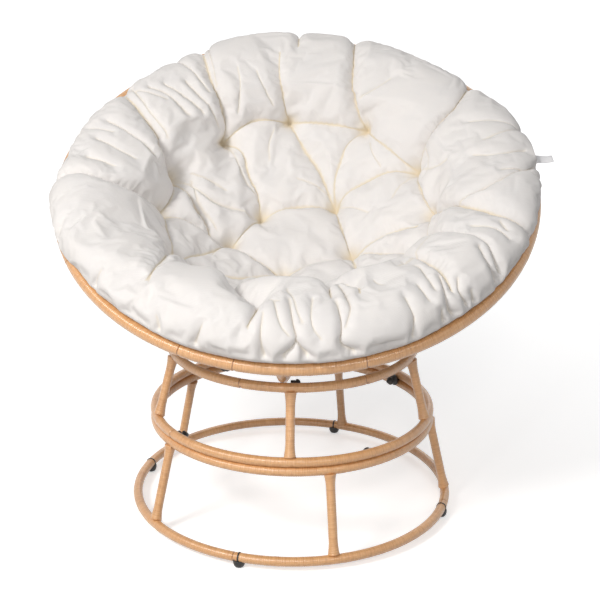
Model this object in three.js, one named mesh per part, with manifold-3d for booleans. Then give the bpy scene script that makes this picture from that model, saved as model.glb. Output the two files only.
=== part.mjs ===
// Papasan chair: a dished round frame with a tufted cushion, tilted on a base of two stacked drums.
// All lengths are in millimetres, angles in degrees. +Z is up and the seat leans towards -Y.

import * as THREE from 'three';
import { mergeVertices } from 'three/addons/utils/BufferGeometryUtils.js';
import Module from 'manifold-3d';

const wasm = await Module();
wasm.setup();

// Fits
const clearance = 0.3;

// Base drums
const frameTubeRadius = 10;
const strutTubeRadius = 9.5;
const strutFlareRadius = 11.5;
const strutFlareLength = 20;
const bottomRingRadius = 343;
const waistRingRadius = 300;
const topRingRadius = 262;
const lowerDrumHeight = 179.5;
const upperDrumHeight = 145;
const strutCount = 5;
const lowerStrutAngle = 287.5;
const upperStrutAngle = 272;

// Glides under the bottom ring
const glideHeight = 11;
const glideRadius = 12.5;
const glideFootRadius = 8.5;
const glideFootRounding = 2.5;
const glideGrip = 6;
const glideCount = 4;
const glideAngle = 75;
const strapWidth = 3.2;
const strapThickness = 1.1;

// Clamps that hold the two drums together, and the stop beside the front rib
const clampCount = 4;
const clampAngle = 37;
const clampRootRadius = 6;
const clampFlangeRadius = 12.5;
const clampFlangeThickness = 5;
const clampNeckRadius = 6;
const clampNeckLength = 8;
const clampHeadRadius = 9.5;
const clampHeadLength = 8;
const clampTipRadius = 4;
const clampTipLength = 3;
const stopAngle = 274;
const stopFootRadius = 7;
const stopNeckRadius = 5;
const stopStand = 8;
const stopLean = 15;
const stopPinRadius = 4.5;
const stopPinLength = 9;
const stopHeadRadius = 7;
const stopHeadLength = 9;
const stopHeadGap = 2;

// Bowl frame
const rimRadius = 512.5;
const rimTubeRadius = 13.5;
const bowlDepth = 327.2;
const bowlTilt = 28;
const ribTubeRadius = 9;
const ribFlareRadius = 13;
const ribFlareLength = 42;
const ribCount = 8;
const ribAngle = 269;
const seatHoopRadius = 336;
const seatHoopTubeRadius = 8;
const centreHoopRadius = 95;
const seatHoopTurn = -8;

// Cushion
const seatThickness = 134;
const cushionCrown = 89;
const edgeOverhang = 16.5;
const edgeHeight = 18;
const rimGap = 2.5;
const shoulderFullness = 30;
const shoulderSpread = 65;
const outerTuftReach = 310;
const tuftDepth = 66;
const tuftSpread = 90;
const seamDepth = 27;
const seamSpread = 50;
const channelDepth = 36;
const channelSpread = 52;
const tagLength = 38;
const tagWidth = 22;
const tagThickness = 1;
const tagAngle = 8;

// The cushion's tufts and lobes, with all turns in degrees about the bowl's axis. Each outer tuft starts a
// channel that runs over the edge roll to its own turn on the edge.
const outerTuftTurns = [4, 31, 63, 96, 126, 158, 181, 212, 245, 278, 309, 337];
const channelTurns = [-19, 40, 76, 92, 119, 146, 185, 233, 262, 283, 311, 325];
const innerTuftTurns = [59, 131, 180, 251, 353];
const innerTuftShares = [0.46, 0.4, 0.45, 0.27, 0.36];
const seatSeams = [
  [0, 1], [0, 2], [0, 3], [1, 4], [2, 5], [2, 6], [2, 7], [3, 7], [3, 8], [3, 9], [4, 10], [4, 11], [4, 0],
];
const channelEndShare = 0.36;
const firstLobeTurn = 17;
const lobeHeightShares = [0.74, 0.63, 0.67, 0.72, 0.56, 0.58, 0.99, 1.08, 1.16, 1.16, 1.06, 0.88];
const lobeReachShares = [0.95, 0.8, 0.82, 0.84, 0.78, 0.86, 1.05, 0.94, 0.99, 0.99, 0.87, 1];
const lobeFullShares = [0, 0, 0, 0, 0, 0.15, 0.45, 0.8, 1, 1, 0.7, 0.3];

// Section of the cushion outside the seat, outwards, as shares of its widest reach and of its crown's height
const rollShares = [
  [0.652, 0.337], [0.728, 0.697], [0.809, 0.944], [0.888, 1], [0.951, 0.876], [0.987, 0.652], [1, 0.404],
];
const rollStartShare = 0.756;
const seatEdgePolar = 50;

// Underside of the roll round the rim's tube, as a turn and a share of the distance that clears the tube
const besideRimShares = [[207, 1.68], [149, 1], [98, 1.19], [62, 1.58]];
const undersideShares = [0.5, 1, 1.38];
const coverShares = [
  0.96, 0.92, 0.865, 0.81, 0.75, 0.69, 0.635, 0.58, 0.53, 0.484, 0.44, 0.39, 0.34, 0.29, 0.24, 0.19, 0.14, 0.08,
];

// Facets
const ringSteps = 48;
const rimSteps = 60;
const ringSides = 10;
const strutSides = 10;
const ribSteps = 12;
const ribSides = 8;
const hoopSides = 8;
const turnedSides = 14;
const strapSteps = 16;
const lobeColumns = [6, 4, 3, 4, 4, 4, 6, 4, 3, 4, 3, 3];
const hoopSteps = lobeColumns.reduce((sum, columns) => sum + columns);
const roundings = 3;

// Places that follow from the sizes above
const bottomRingHeight = glideHeight + frameTubeRadius;
const lowerWaistHeight = bottomRingHeight + lowerDrumHeight;
const upperWaistHeight = lowerWaistHeight + 2 * frameTubeRadius + clearance;
const topRingHeight = upperWaistHeight + upperDrumHeight;
const bowlRadius = (rimRadius ** 2 + bowlDepth ** 2) / (2 * bowlDepth);
const contactRadius = bowlRadius + ribTubeRadius + frameTubeRadius + clearance;
const bowlCentreHeight = topRingHeight + Math.sqrt(contactRadius ** 2 - topRingRadius ** 2);
const rimDrop = bowlRadius - bowlDepth;
const seatHoopPath = bowlRadius - ribTubeRadius - seatHoopTubeRadius - clearance;
const seatRadius = seatHoopPath - seatHoopTubeRadius - clearance;

const radians = THREE.MathUtils.degToRad;

// Rings of the base, and the bowl's rings seen from the bowl's own centre
const baseRing = { tubeRadius: frameTubeRadius, sides: ringSides, steps: ringSteps, turn: 0 };
const bottomRing = {
  ...baseRing, radius: bottomRingRadius, height: bottomRingHeight, turn: glideAngle,
};
const lowerWaist = { ...baseRing, radius: waistRingRadius, height: lowerWaistHeight };
const upperWaist = { ...baseRing, radius: waistRingRadius, height: upperWaistHeight };
const topRing = { ...baseRing, radius: topRingRadius, height: topRingHeight };
const rim = {
  radius: rimRadius, tubeRadius: rimTubeRadius, height: -rimDrop, sides: ringSides, steps: rimSteps, turn: ribAngle,
};
const seatHoop = {
  radius: seatHoopRadius,
  tubeRadius: seatHoopTubeRadius,
  height: -Math.sqrt(seatHoopPath ** 2 - seatHoopRadius ** 2),
  sides: hoopSides,
  steps: hoopSteps,
  turn: seatHoopTurn,
};
const centreHoop = {
  radius: centreHoopRadius,
  tubeRadius: ribTubeRadius,
  height: -Math.sqrt(bowlRadius ** 2 - centreHoopRadius ** 2),
  sides: hoopSides,
  steps: ringSteps / 2,
  turn: ribAngle,
};


// Materials
const wicker = () => new THREE.MeshStandardMaterial({ color: 0xd2a06c, roughness: 0.55, metalness: 0 });
const blackPlastic = () => new THREE.MeshStandardMaterial({ color: 0x161616, roughness: 0.45, metalness: 0 });
const cotton = () => new THREE.MeshStandardMaterial({ color: 0xefece6, roughness: 0.95, metalness: 0 });
const label = () => new THREE.MeshStandardMaterial({ color: 0xf4f4f6, roughness: 0.8, metalness: 0 });

// A solid for cutting, from any closed geometry
function toSolid(geometry) {
  const bare = geometry.clone();
  bare.deleteAttribute('normal');
  bare.deleteAttribute('uv');
  const merged = mergeVertices(bare);
  return new wasm.Manifold(new wasm.Mesh({
    numProp: 3,
    vertProperties: new Float32Array(merged.attributes.position.array),
    triVerts: new Uint32Array(merged.index.array),
  }));
}

function toGeometry(solid) {
  const mesh = solid.getMesh();
  const geometry = new THREE.BufferGeometry();
  geometry.setAttribute('position', new THREE.BufferAttribute(new Float32Array(mesh.vertProperties), 3));
  geometry.setIndex(new THREE.BufferAttribute(new Uint32Array(mesh.triVerts), 1));
  geometry.computeVertexNormals();
  return geometry;
}

function addMesh(parent, name, geometry, material) {
  const mesh = new THREE.Mesh(geometry, material);
  mesh.name = name;
  parent.add(mesh);
  return mesh;
}

// A point on a level circle round the Z axis
function onCircle(radius, angle, height) {
  const turn = radians(angle);
  return new THREE.Vector3(radius * Math.cos(turn), radius * Math.sin(turn), height);
}

// The tube of a ring, or the same tube grown by a gap on every face for cutting what meets it
function ringGeometry(spec, gap) {
  const grown = spec.tubeRadius + gap / Math.cos(Math.PI / spec.sides);
  const geometry = new THREE.TorusGeometry(spec.radius, grown, spec.sides, spec.steps);
  geometry.rotateZ(radians(spec.turn));
  geometry.translate(0, 0, spec.height);
  return geometry;
}

function ringTool(spec) {
  return toSolid(ringGeometry(spec, clearance));
}

// The largest piece that a cut leaves
function largest(solid) {
  return solid.decompose().reduce((best, piece) => (piece.volume() > best.volume() ? piece : best));
}

// A revolved solid whose axis runs from start to end, its profile given as [radius, distance] pairs
function turned(profile, start, end, sides) {
  const points = profile.map(([radius, distance]) => new THREE.Vector2(radius, distance));
  const geometry = new THREE.LatheGeometry(points, sides);
  const direction = end.clone().sub(start).normalize();
  const turn = new THREE.Quaternion().setFromUnitVectors(new THREE.Vector3(0, 1, 0), direction);
  geometry.applyQuaternion(turn);
  geometry.translate(start.x, start.y, start.z);
  return geometry;
}

// Skin over rows of points that each close on themselves, with a point or a flat fan at both ends
function skin(rows, firstPoint, lastPoint) {
  const columns = rows[0].length;
  const points = [firstPoint, ...rows.flat(), lastPoint];
  const last = points.length - 1;
  const faces = [];
  for (let k = 0; k < columns; k += 1) {
    const next = (k + 1) % columns;
    faces.push(0, 1 + next, 1 + k);
    const top = 1 + (rows.length - 1) * columns;
    faces.push(last, top + k, top + next);
    for (let row = 0; row < rows.length - 1; row += 1) {
      const a = 1 + row * columns;
      const b = a + columns;
      faces.push(a + k, a + next, b + next);
      faces.push(a + k, b + next, b + k);
    }
  }
  const geometry = new THREE.BufferGeometry();
  geometry.setFromPoints(points);
  geometry.setIndex(faces);
  geometry.computeVertexNormals();
  return geometry;
}

// A strut between two rings, flared at both ends and coped to their tubes
function strutGeometry(angle, low, high) {
  const start = onCircle(low.radius, angle, low.height);
  const end = onCircle(high.radius, angle, high.height);
  const length = start.distanceTo(end);
  const flareEnd = frameTubeRadius + strutFlareLength;
  const profile = [
    [0, 0],
    [strutFlareRadius, 0],
    [strutFlareRadius, frameTubeRadius],
    [strutTubeRadius, flareEnd],
    [strutTubeRadius, length - flareEnd],
    [strutFlareRadius, length - frameTubeRadius],
    [strutFlareRadius, length],
    [0, length],
  ];
  const bar = toSolid(turned(profile, start, end, strutSides));
  return toGeometry(largest(bar.subtract(ringTool(low)).subtract(ringTool(high))));
}

function drum(parent, prefix, low, high, firstAngle) {
  for (let k = 0; k < strutCount; k += 1) {
    const angle = firstAngle + (360 / strutCount) * k;
    addMesh(parent, `${prefix}_strut_${k + 1}`, strutGeometry(angle, low, high), wicker());
  }
}

// A glide that cups the bottom ring from below, with a groove for its strap
function glideProfile() {
  const top = glideHeight + glideGrip;
  return [
    [0, 0],
    [glideFootRadius - glideFootRounding, 0],
    [glideFootRadius, glideFootRounding],
    [glideRadius, glideHeight],
    [glideRadius, top],
    [0, top],
  ];
}

function strapGeometry(angle, grow) {
  const inner = frameTubeRadius + clearance - grow;
  const outer = frameTubeRadius + clearance + strapThickness + grow;
  const half = strapWidth / 2 + grow;
  const profile = [[inner, -half], [outer, -half], [outer, half], [inner, half], [inner, -half]];
  const points = profile.map(([radius, distance]) => new THREE.Vector2(radius, distance));
  const geometry = new THREE.LatheGeometry(points, strapSteps);
  geometry.rotateZ(radians(angle));
  const centre = onCircle(bottomRingRadius, angle, bottomRingHeight);
  geometry.translate(centre.x, centre.y, centre.z);
  return geometry;
}

function glides(parent) {
  for (let k = 0; k < glideCount; k += 1) {
    const angle = glideAngle + (360 / glideCount) * k;
    const foot = onCircle(bottomRingRadius, angle, 0);
    const above = onCircle(bottomRingRadius, angle, bottomRingHeight);
    const cup = toSolid(turned(glideProfile(), foot, above, turnedSides))
      .subtract(ringTool(bottomRing))
      .subtract(toSolid(strapGeometry(angle, clearance)));
    addMesh(parent, `glide_${k + 1}`, toGeometry(largest(cup)), blackPlastic());
    addMesh(parent, `glide_strap_${k + 1}`, strapGeometry(angle, 0), blackPlastic());
  }
}

// Dome of a turned head, as [radius, distance] pairs after a neck
function domeProfile(radius, start, length, steps) {
  const points = [];
  for (let k = 0; k <= steps; k += 1) {
    const turn = (Math.PI / 2) * (k / steps);
    points.push([k === steps ? 0 : radius * Math.cos(turn), start + length * Math.sin(turn)]);
  }
  return points;
}

// Clamps on the inside of the two waist rings, seated in the groove between their tubes
function clampGeometry(angle) {
  const middle = (lowerWaistHeight + upperWaistHeight) / 2;
  const root = onCircle(waistRingRadius, angle, middle);
  const centre = new THREE.Vector3(0, 0, middle);
  const lean = Math.atan2(waistRingRadius - topRingRadius, upperDrumHeight);
  const besideTubes = Math.max(0, clampFlangeRadius - frameTubeRadius) * Math.tan(lean);
  const flangeStart = strutFlareRadius / Math.cos(lean) + besideTubes + clearance;
  const flangeEnd = flangeStart + clampFlangeThickness;
  const neckEnd = flangeEnd + clampNeckLength;
  const profile = [
    [0, 0],
    [clampRootRadius, 0],
    [clampRootRadius, flangeStart],
    [clampFlangeRadius, flangeStart],
    [clampFlangeRadius, flangeEnd],
    [clampNeckRadius, flangeEnd + clampFlangeThickness / 2],
    [clampNeckRadius, neckEnd],
    ...domeProfile(clampHeadRadius, neckEnd, clampHeadLength, 4).filter(([radius]) => radius > clampTipRadius),
    ...domeProfile(clampTipRadius, neckEnd + clampHeadLength, clampTipLength, 2),
  ];
  const knob = toSolid(turned(profile, root, centre, turnedSides));
  return toGeometry(largest(knob.subtract(ringTool(lowerWaist)).subtract(ringTool(upperWaist))));
}

function clamps(parent) {
  for (let k = 0; k < clampCount; k += 1) {
    const angle = clampAngle + (360 / clampCount) * k;
    addMesh(parent, `waist_clamp_${k + 1}`, clampGeometry(angle), blackPlastic());
  }
}

// The stop stands on the inner side of the top ring beside the bowl's front rib: a post that carries a pin with
// a round head, which lies along the ring
function stopGeometry() {
  const root = onCircle(topRingRadius, stopAngle, topRingHeight);
  const inward = onCircle(-Math.cos(radians(stopLean)), stopAngle, Math.sin(radians(stopLean)));
  const sideways = onCircle(1, stopAngle + 90, 0);
  const seat = frameTubeRadius / 2;
  const postEnd = frameTubeRadius + stopStand;
  const post = [
    [0, seat],
    [stopFootRadius, seat],
    [stopFootRadius, frameTubeRadius],
    [stopNeckRadius, frameTubeRadius + stopStand / 2],
    [stopNeckRadius, postEnd],
    [0, postEnd],
  ];
  const headStart = stopPinLength + stopHeadGap;
  const pin = [
    [0, 0],
    [stopPinRadius, 0],
    [stopPinRadius, stopPinLength],
    [stopPinRadius - stopHeadGap / 2, headStart],
    ...domeProfile(stopHeadRadius, headStart, stopHeadLength, 4),
  ];
  const pinStart = root.clone().addScaledVector(inward, postEnd).addScaledVector(sideways, -stopPinLength);
  const knob = toSolid(turned(post, root, root.clone().add(inward), turnedSides))
    .add(toSolid(turned(pin, pinStart, pinStart.clone().add(sideways), turnedSides)));
  return toGeometry(largest(knob.subtract(ringTool(topRing))));
}

// A point of the bowl, from the angle off its lowest point, the turn round its axis and the reach
function inBowl(polar, turn, reach) {
  const across = reach * Math.sin(polar);
  return new THREE.Vector3(across * Math.cos(turn), across * Math.sin(turn), -reach * Math.cos(polar));
}

// A rib follows the bowl from the rim to the hoop in the middle, and is coped to both
function ribGeometry(angle) {
  const turn = radians(angle);
  const rimPolar = Math.asin(rimRadius / bowlRadius);
  const hoopPolar = Math.asin(centreHoopRadius / bowlRadius);
  const across = new THREE.Vector3(-Math.sin(turn), Math.cos(turn), 0);
  const rows = [];
  for (let step = 0; step <= ribSteps; step += 1) {
    const polar = rimPolar + (hoopPolar - rimPolar) * (step / ribSteps);
    const fromRim = (rimPolar - polar) * bowlRadius;
    const flare = Math.max(0, 1 - fromRim / ribFlareLength);
    const halfWidth = ribTubeRadius + (ribFlareRadius - ribTubeRadius) * flare;
    const centre = inBowl(polar, turn, bowlRadius);
    const outward = centre.clone().normalize();
    const row = [];
    for (let side = 0; side < ribSides; side += 1) {
      const spin = 2 * Math.PI * (side / ribSides);
      row.push(centre.clone()
        .addScaledVector(across, halfWidth * Math.cos(spin))
        .addScaledVector(outward, ribTubeRadius * Math.sin(spin)));
    }
    rows.push(row);
  }
  const bar = toSolid(skin(
    rows, inBowl(rimPolar, turn, bowlRadius), inBowl(hoopPolar, turn, bowlRadius),
  ));
  return toGeometry(largest(bar.subtract(ringTool(rim)).subtract(ringTool(centreHoop))));
}

function bowlFrame(parent) {
  addMesh(parent, 'bowl_rim', ringGeometry(rim, 0), wicker());
  addMesh(parent, 'seat_hoop', ringGeometry(seatHoop, 0), wicker());
  addMesh(parent, 'centre_hoop', ringGeometry(centreHoop, 0), wicker());
  for (let k = 0; k < ribCount; k += 1) {
    const angle = ribAngle + (360 / ribCount) * k;
    addMesh(parent, `bowl_rib_${k + 1}`, ribGeometry(angle), wicker());
  }
}

// The cushion's top in section, from its middle to its edge: a seat round the bowl's centre, then the roll
function coverSection() {
  const reach = seatRadius - seatThickness;
  const widest = rimRadius + edgeOverhang;
  const section = [];
  for (let step = 0; step <= ringSteps; step += 1) {
    const polar = radians(seatEdgePolar) * (step / ringSteps);
    section.push(new THREE.Vector2(reach * Math.sin(polar), -reach * Math.cos(polar)));
  }
  for (const [outShare, upShare] of rollShares) {
    section.push(new THREE.Vector2(outShare * widest, upShare * cushionCrown - rimDrop));
  }
  return section;
}

// Corners of an open line cut back again and again, so that it comes out round
function rounded(line) {
  let points = line;
  for (let k = 0; k < roundings; k += 1) {
    const cut = [points[0]];
    for (let i = 0; i < points.length - 1; i += 1) {
      cut.push(points[i].clone().lerp(points[i + 1], 0.25), points[i].clone().lerp(points[i + 1], 0.75));
    }
    cut.push(points[points.length - 1]);
    points = cut;
  }
  return points;
}

const section = rounded(coverSection());
const sectionLengths = [0];
for (let i = 1; i < section.length; i += 1) {
  sectionLengths.push(sectionLengths[i - 1] + section[i].distanceTo(section[i - 1]));
}
const coverLength = sectionLengths[sectionLengths.length - 1];

function onSection(length) {
  const next = Math.max(1, sectionLengths.findIndex((total) => total >= length));
  const before = sectionLengths[next - 1];
  return section[next - 1].clone().lerp(section[next], (length - before) / (sectionLengths[next] - before));
}

// Height, reach or fullness of the lobes at a turn, level along each lobe and eased between two
function lobeAt(shares, turn) {
  const count = shares.length;
  const place = THREE.MathUtils.euclideanModulo((turn - firstLobeTurn) / (360 / count), count);
  const first = Math.floor(place);
  const ease = THREE.MathUtils.smoothstep(place - first, 0.2, 0.8);
  return THREE.MathUtils.lerp(shares[first % count], shares[(first + 1) % count], ease);
}

// The section at a turn: what is over the edge's height follows the lobe up, and what is past the seat, outwards
function lobeSection(point, turn) {
  const start = rollStartShare * (rimRadius + edgeOverhang);
  const low = edgeHeight - rimDrop;
  const rise = (lobeAt(lobeHeightShares, turn) * cushionCrown - edgeHeight) / (cushionCrown - edgeHeight);
  const spread = lobeAt(lobeReachShares, turn);
  return new THREE.Vector2(
    point.x > start ? start + (point.x - start) * spread : point.x,
    point.y > low ? low + (point.y - low) * rise : point.y,
  );
}

// Places on the cover laid flat, where the distance from the middle is the length along the section
function flatPlace(length, turn) {
  return new THREE.Vector2(length * Math.cos(radians(turn)), length * Math.sin(radians(turn)));
}

const outerTufts = outerTuftTurns.map((turn) => flatPlace(outerTuftReach, turn));
const innerTufts = innerTuftTurns.map((turn, k) => flatPlace(outerTuftReach * innerTuftShares[k], turn));

// Seams run round each ring of tufts, and between the two rings
function ringSeams(tufts) {
  return tufts.map((tuft, k) => [tuft, tufts[(k + 1) % tufts.length]]);
}

const seams = [
  ...ringSeams(innerTufts),
  ...ringSeams(outerTufts),
  ...seatSeams.map(([inner, outer]) => [innerTufts[inner], outerTufts[outer]]),
];

function distanceToLine(place, [from, to]) {
  const along = to.clone().sub(from);
  const share = THREE.MathUtils.clamp(place.clone().sub(from).dot(along) / along.lengthSq(), 0, 1);
  return place.distanceTo(from.clone().addScaledVector(along, share));
}

// Share of the way from the outer tufts to the cushion's edge
function pastTufts(length) {
  return THREE.MathUtils.clamp((length - outerTuftReach) / (coverLength - outerTuftReach), 0, 1);
}

function channelTurn(k, length) {
  return THREE.MathUtils.lerp(outerTuftTurns[k], channelTurns[k], pastTufts(length));
}

// Fall of a hollow's depth with the distance from its middle
function hollow(depth, distance, spread) {
  return depth * Math.max(0, 1 - distance / spread) ** 2;
}

// How far tufts, seams and channels draw the cover in, the deepest of them counting most
function drawnIn(length, turn) {
  const place = flatPlace(length, turn);
  const depths = [...innerTufts, ...outerTufts].map((tuft) => hollow(tuftDepth, tuft.distanceTo(place), tuftSpread));
  seams.forEach((line) => depths.push(hollow(seamDepth, distanceToLine(place, line), seamSpread)));
  if (length > outerTuftReach) {
    const depth = channelDepth * THREE.MathUtils.lerp(1, channelEndShare, pastTufts(length));
    channelTurns.forEach((_, k) => {
      const channel = flatPlace(length, channelTurn(k, length));
      depths.push(hollow(depth, channel.distanceTo(place), channelSpread));
    });
  }
  return Math.cbrt(depths.reduce((sum, depth) => sum + depth ** 3, 0));
}

function turnedAbout(point, turn) {
  return new THREE.Vector3(point.x * Math.cos(radians(turn)), point.x * Math.sin(radians(turn)), point.y);
}

// A point of the cushion's top, moved along the section's own normal: out where a lobe is full, in where it is drawn
function onCover(length, turn) {
  const step = coverLength / ringSteps;
  const at = (where) => lobeSection(onSection(THREE.MathUtils.clamp(where, 0, coverLength)), turn);
  const lead = at(length + step).sub(at(length - step)).normalize();
  const fromShoulder = (length - (outerTuftReach + coverLength) / 2 + shoulderSpread) / shoulderSpread;
  const full = shoulderFullness * lobeAt(lobeFullShares, turn) * Math.exp(-(fromShoulder ** 2));
  const out = full - drawnIn(length, turn);
  return turnedAbout(at(length).add(new THREE.Vector2(-lead.y, lead.x).multiplyScalar(out)), turn);
}

// Turns of the columns of points: each lobe has its own, between two channels
function columnTurns(length) {
  const turns = [];
  lobeColumns.forEach((columns, k) => {
    const from = channelTurn(k, length);
    const next = (k + 1) % lobeColumns.length;
    const to = channelTurn(next, length) + (next === 0 ? 360 : 0);
    for (let column = 0; column < columns; column += 1) {
      turns.push(THREE.MathUtils.lerp(from, to, column / columns));
    }
  });
  return turns;
}

// A point of the underside beside the rim's tube, drawn in where the edge above it is
function besideRim([tubeTurn, share], turn) {
  const cleared = rimTubeRadius + rimGap;
  const [innerTurn, innerShare] = besideRimShares[0];
  const inner = rimRadius + innerShare * cleared * Math.cos(radians(innerTurn));
  const across = rimRadius + share * cleared * Math.cos(radians(tubeTurn));
  const height = share * cleared * Math.sin(radians(tubeTurn)) - rimDrop;
  const edge = lobeSection(section[section.length - 1], turn).x;
  const spread = Math.min(1, (edge - inner) / (rimRadius + edgeOverhang - inner));
  return new THREE.Vector2(inner + (across - inner) * spread, lobeSection(new THREE.Vector2(0, height), turn).y);
}

function cushionGeometry() {
  const hoopPolar = Math.asin(seatHoopRadius / seatHoopPath);
  const edgeTurns = columnTurns(coverLength);
  const rows = undersideShares.map((share) => edgeTurns.map((_, k) => (
    inBowl(hoopPolar * share, radians(seatHoopTurn + (360 / hoopSteps) * k), seatRadius)
  )));
  for (const place of besideRimShares) {
    rows.push(edgeTurns.map((turn) => turnedAbout(besideRim(place, turn), turn)));
  }
  for (const share of [1, ...coverShares]) {
    rows.push(columnTurns(share * coverLength).map((turn) => onCover(share * coverLength, turn)));
  }
  const bottom = new THREE.Vector3(0, 0, -seatRadius);
  return skin(rows, bottom, onCover(0, 0));
}

// A bare care tag, sewn into the edge of the cushion
function tagGeometry(cushion) {
  const edge = onCover(coverLength, tagAngle);
  const root = Math.hypot(edge.x, edge.y);
  const strip = new THREE.BoxGeometry(2 * tagLength, tagWidth, tagThickness);
  strip.translate(root, 0, edge.z);
  strip.rotateZ(radians(tagAngle));
  const grow = 1 + clearance / root;
  const pieces = toSolid(strip).subtract(toSolid(cushion).scale(grow)).decompose();
  const outermost = pieces.reduce((best, piece) => {
    const reach = Math.max(...piece.boundingBox().max);
    return reach > Math.max(...best.boundingBox().max) ? piece : best;
  });
  return toGeometry(outermost);
}

// Assembly
const chair = new THREE.Group();

const base = new THREE.Group();
chair.add(base);
addMesh(base, 'bottom_ring', ringGeometry(bottomRing, 0), wicker());
addMesh(base, 'lower_waist_ring', ringGeometry(lowerWaist, 0), wicker());
addMesh(base, 'upper_waist_ring', ringGeometry(upperWaist, 0), wicker());
addMesh(base, 'top_ring', ringGeometry(topRing, 0), wicker());
drum(base, 'lower', bottomRing, lowerWaist, lowerStrutAngle);
drum(base, 'upper', upperWaist, topRing, upperStrutAngle);
glides(base);
clamps(base);
addMesh(base, 'bowl_stop', stopGeometry(), blackPlastic());

const bowl = new THREE.Group();
bowl.position.z = bowlCentreHeight;
bowl.rotation.x = radians(bowlTilt);
chair.add(bowl);
bowlFrame(bowl);
const cushion = cushionGeometry();
addMesh(bowl, 'cushion', cushion, cotton());
addMesh(bowl, 'cushion_tag', tagGeometry(cushion), label());

// The origin lies on the floor, under the middle of the whole chair
const whole = new THREE.Group();
whole.add(chair);
const bounds = new THREE.Box3().setFromObject(whole, true);
chair.position.x = -(bounds.min.x + bounds.max.x) / 2;
chair.position.y = -(bounds.min.y + bounds.max.y) / 2;

export default whole;
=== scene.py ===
# Papasan chair: wicker wrapped tubes on an open drum base, and a loose tufted cushion in the bowl.
# All lengths are in metres, in the frame of the CAD model. The front of the seat looks towards -Y.
import math

import bpy
import numpy as np
from mathutils import Matrix, Vector
from mathutils.geometry import delaunay_2d_cdt
from mathutils.kdtree import KDTree


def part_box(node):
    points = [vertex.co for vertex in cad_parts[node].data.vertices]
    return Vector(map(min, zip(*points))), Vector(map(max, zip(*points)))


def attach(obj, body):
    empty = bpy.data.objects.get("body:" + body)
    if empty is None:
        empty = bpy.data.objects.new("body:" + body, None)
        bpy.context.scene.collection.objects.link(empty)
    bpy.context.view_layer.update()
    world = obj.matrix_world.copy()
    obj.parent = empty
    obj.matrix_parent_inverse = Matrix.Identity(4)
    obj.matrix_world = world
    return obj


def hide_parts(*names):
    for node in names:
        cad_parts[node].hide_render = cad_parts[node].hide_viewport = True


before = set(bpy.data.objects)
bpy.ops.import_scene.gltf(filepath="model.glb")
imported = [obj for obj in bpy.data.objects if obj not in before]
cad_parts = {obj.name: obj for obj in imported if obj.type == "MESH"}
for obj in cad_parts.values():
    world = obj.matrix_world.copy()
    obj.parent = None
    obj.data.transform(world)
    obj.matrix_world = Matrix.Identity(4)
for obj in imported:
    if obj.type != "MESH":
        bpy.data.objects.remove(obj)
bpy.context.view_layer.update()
print("frame loaded")

# Sizes that several pieces share, as the CAD model has them
chair = {
    "frameTube": 0.010,
    "bottomRing": 0.343,
    "waistRing": 0.300,
    "topRing": 0.262,
    "bottomHeight": 0.021,
    "lowerWaistHeight": 0.2005,
    "upperWaistHeight": 0.2208,
    "topHeight": 0.3658,
    "rimRadius": 0.5125,
    "rimTube": 0.0135,
    "bowlDepth": 0.3272,
    "ribTube": 0.009,
    "tilt": 28.0,
    "gap": 0.0003,
    "struts": 5,
    "lowerStrutAngle": 287.5,
    "upperStrutAngle": 272.0,
}
low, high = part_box("bottom_ring")
baseMiddle = Vector(((low.x + high.x) / 2, (low.y + high.y) / 2, 0))
bowlRadius = (chair["rimRadius"] ** 2 + chair["bowlDepth"] ** 2) / (2 * chair["bowlDepth"])
rimDrop = bowlRadius - chair["bowlDepth"]
reachToRing = bowlRadius + chair["ribTube"] + chair["frameTube"] + chair["gap"]
bowlHeight = chair["topHeight"] + math.sqrt(reachToRing ** 2 - chair["topRing"] ** 2)
basePlace = Matrix.Translation(baseMiddle)
bowlPlace = (Matrix.Translation(baseMiddle + Vector((0, 0, bowlHeight)))
             @ Matrix.Rotation(math.radians(chair["tilt"]), 4, "X"))


# Small helpers
def inPlace(points, place):
    turn = np.array(place.to_3x3())
    return points @ turn.T + np.array(place.translation)


def onCircle(radius, angle, height=0.0):
    a = math.radians(angle)
    return Vector((radius * math.cos(a), radius * math.sin(a), height))


# Angles that share a circle evenly, from the first on
def spread(first, count):
    return [first + 360 / count * k for k in range(count)]


def newPiece(name, points, faces, material):
    mesh = bpy.data.meshes.new(name)
    mesh.from_pydata(np.asarray(points).tolist(), [], faces)
    mesh.polygons.foreach_set("use_smooth", [True] * len(mesh.polygons))
    mesh.materials.append(material)
    mesh.update()
    piece = bpy.data.objects.new(name, mesh)
    bpy.context.scene.collection.objects.link(piece)
    return piece


# The body that a piece rides on and the CAD node that it stands for, which is hidden
def enterPiece(piece, body, node):
    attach(piece, body)
    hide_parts(node)


# Node materials. An input is a number, a colour or the output of another node.
def setInputs(tree, node, inputs):
    for key, value in inputs.items():
        if isinstance(value, bpy.types.NodeSocket):
            tree.links.new(value, node.inputs[key])
        else:
            node.inputs[key].default_value = value


def addNode(tree, kind, inputs=None, **settings):
    node = tree.nodes.new(kind)
    for key, value in settings.items():
        setattr(node, key, value)
    setInputs(tree, node, inputs or {})
    return node


def startMaterial(name):
    material = bpy.data.materials.new(name)
    material.use_nodes = True
    tree = material.node_tree
    return material, tree, tree.nodes["Principled BSDF"]


def objectPlace(tree):
    return addNode(tree, "ShaderNodeTexCoord").outputs["Object"]


def stretch(tree, place, scale):
    return addNode(tree, "ShaderNodeMapping", {"Vector": place, "Scale": scale}).outputs["Vector"]


def noise(tree, place, scale, detail, roughness=0.5, distortion=0.0):
    inputs = {"Vector": place, "Scale": scale, "Detail": detail,
              "Roughness": roughness, "Distortion": distortion}
    return addNode(tree, "ShaderNodeTexNoise", inputs).outputs["Fac"]


def meshValue(tree, name):
    return addNode(tree, "ShaderNodeAttribute", attribute_name=name).outputs["Fac"]


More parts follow.
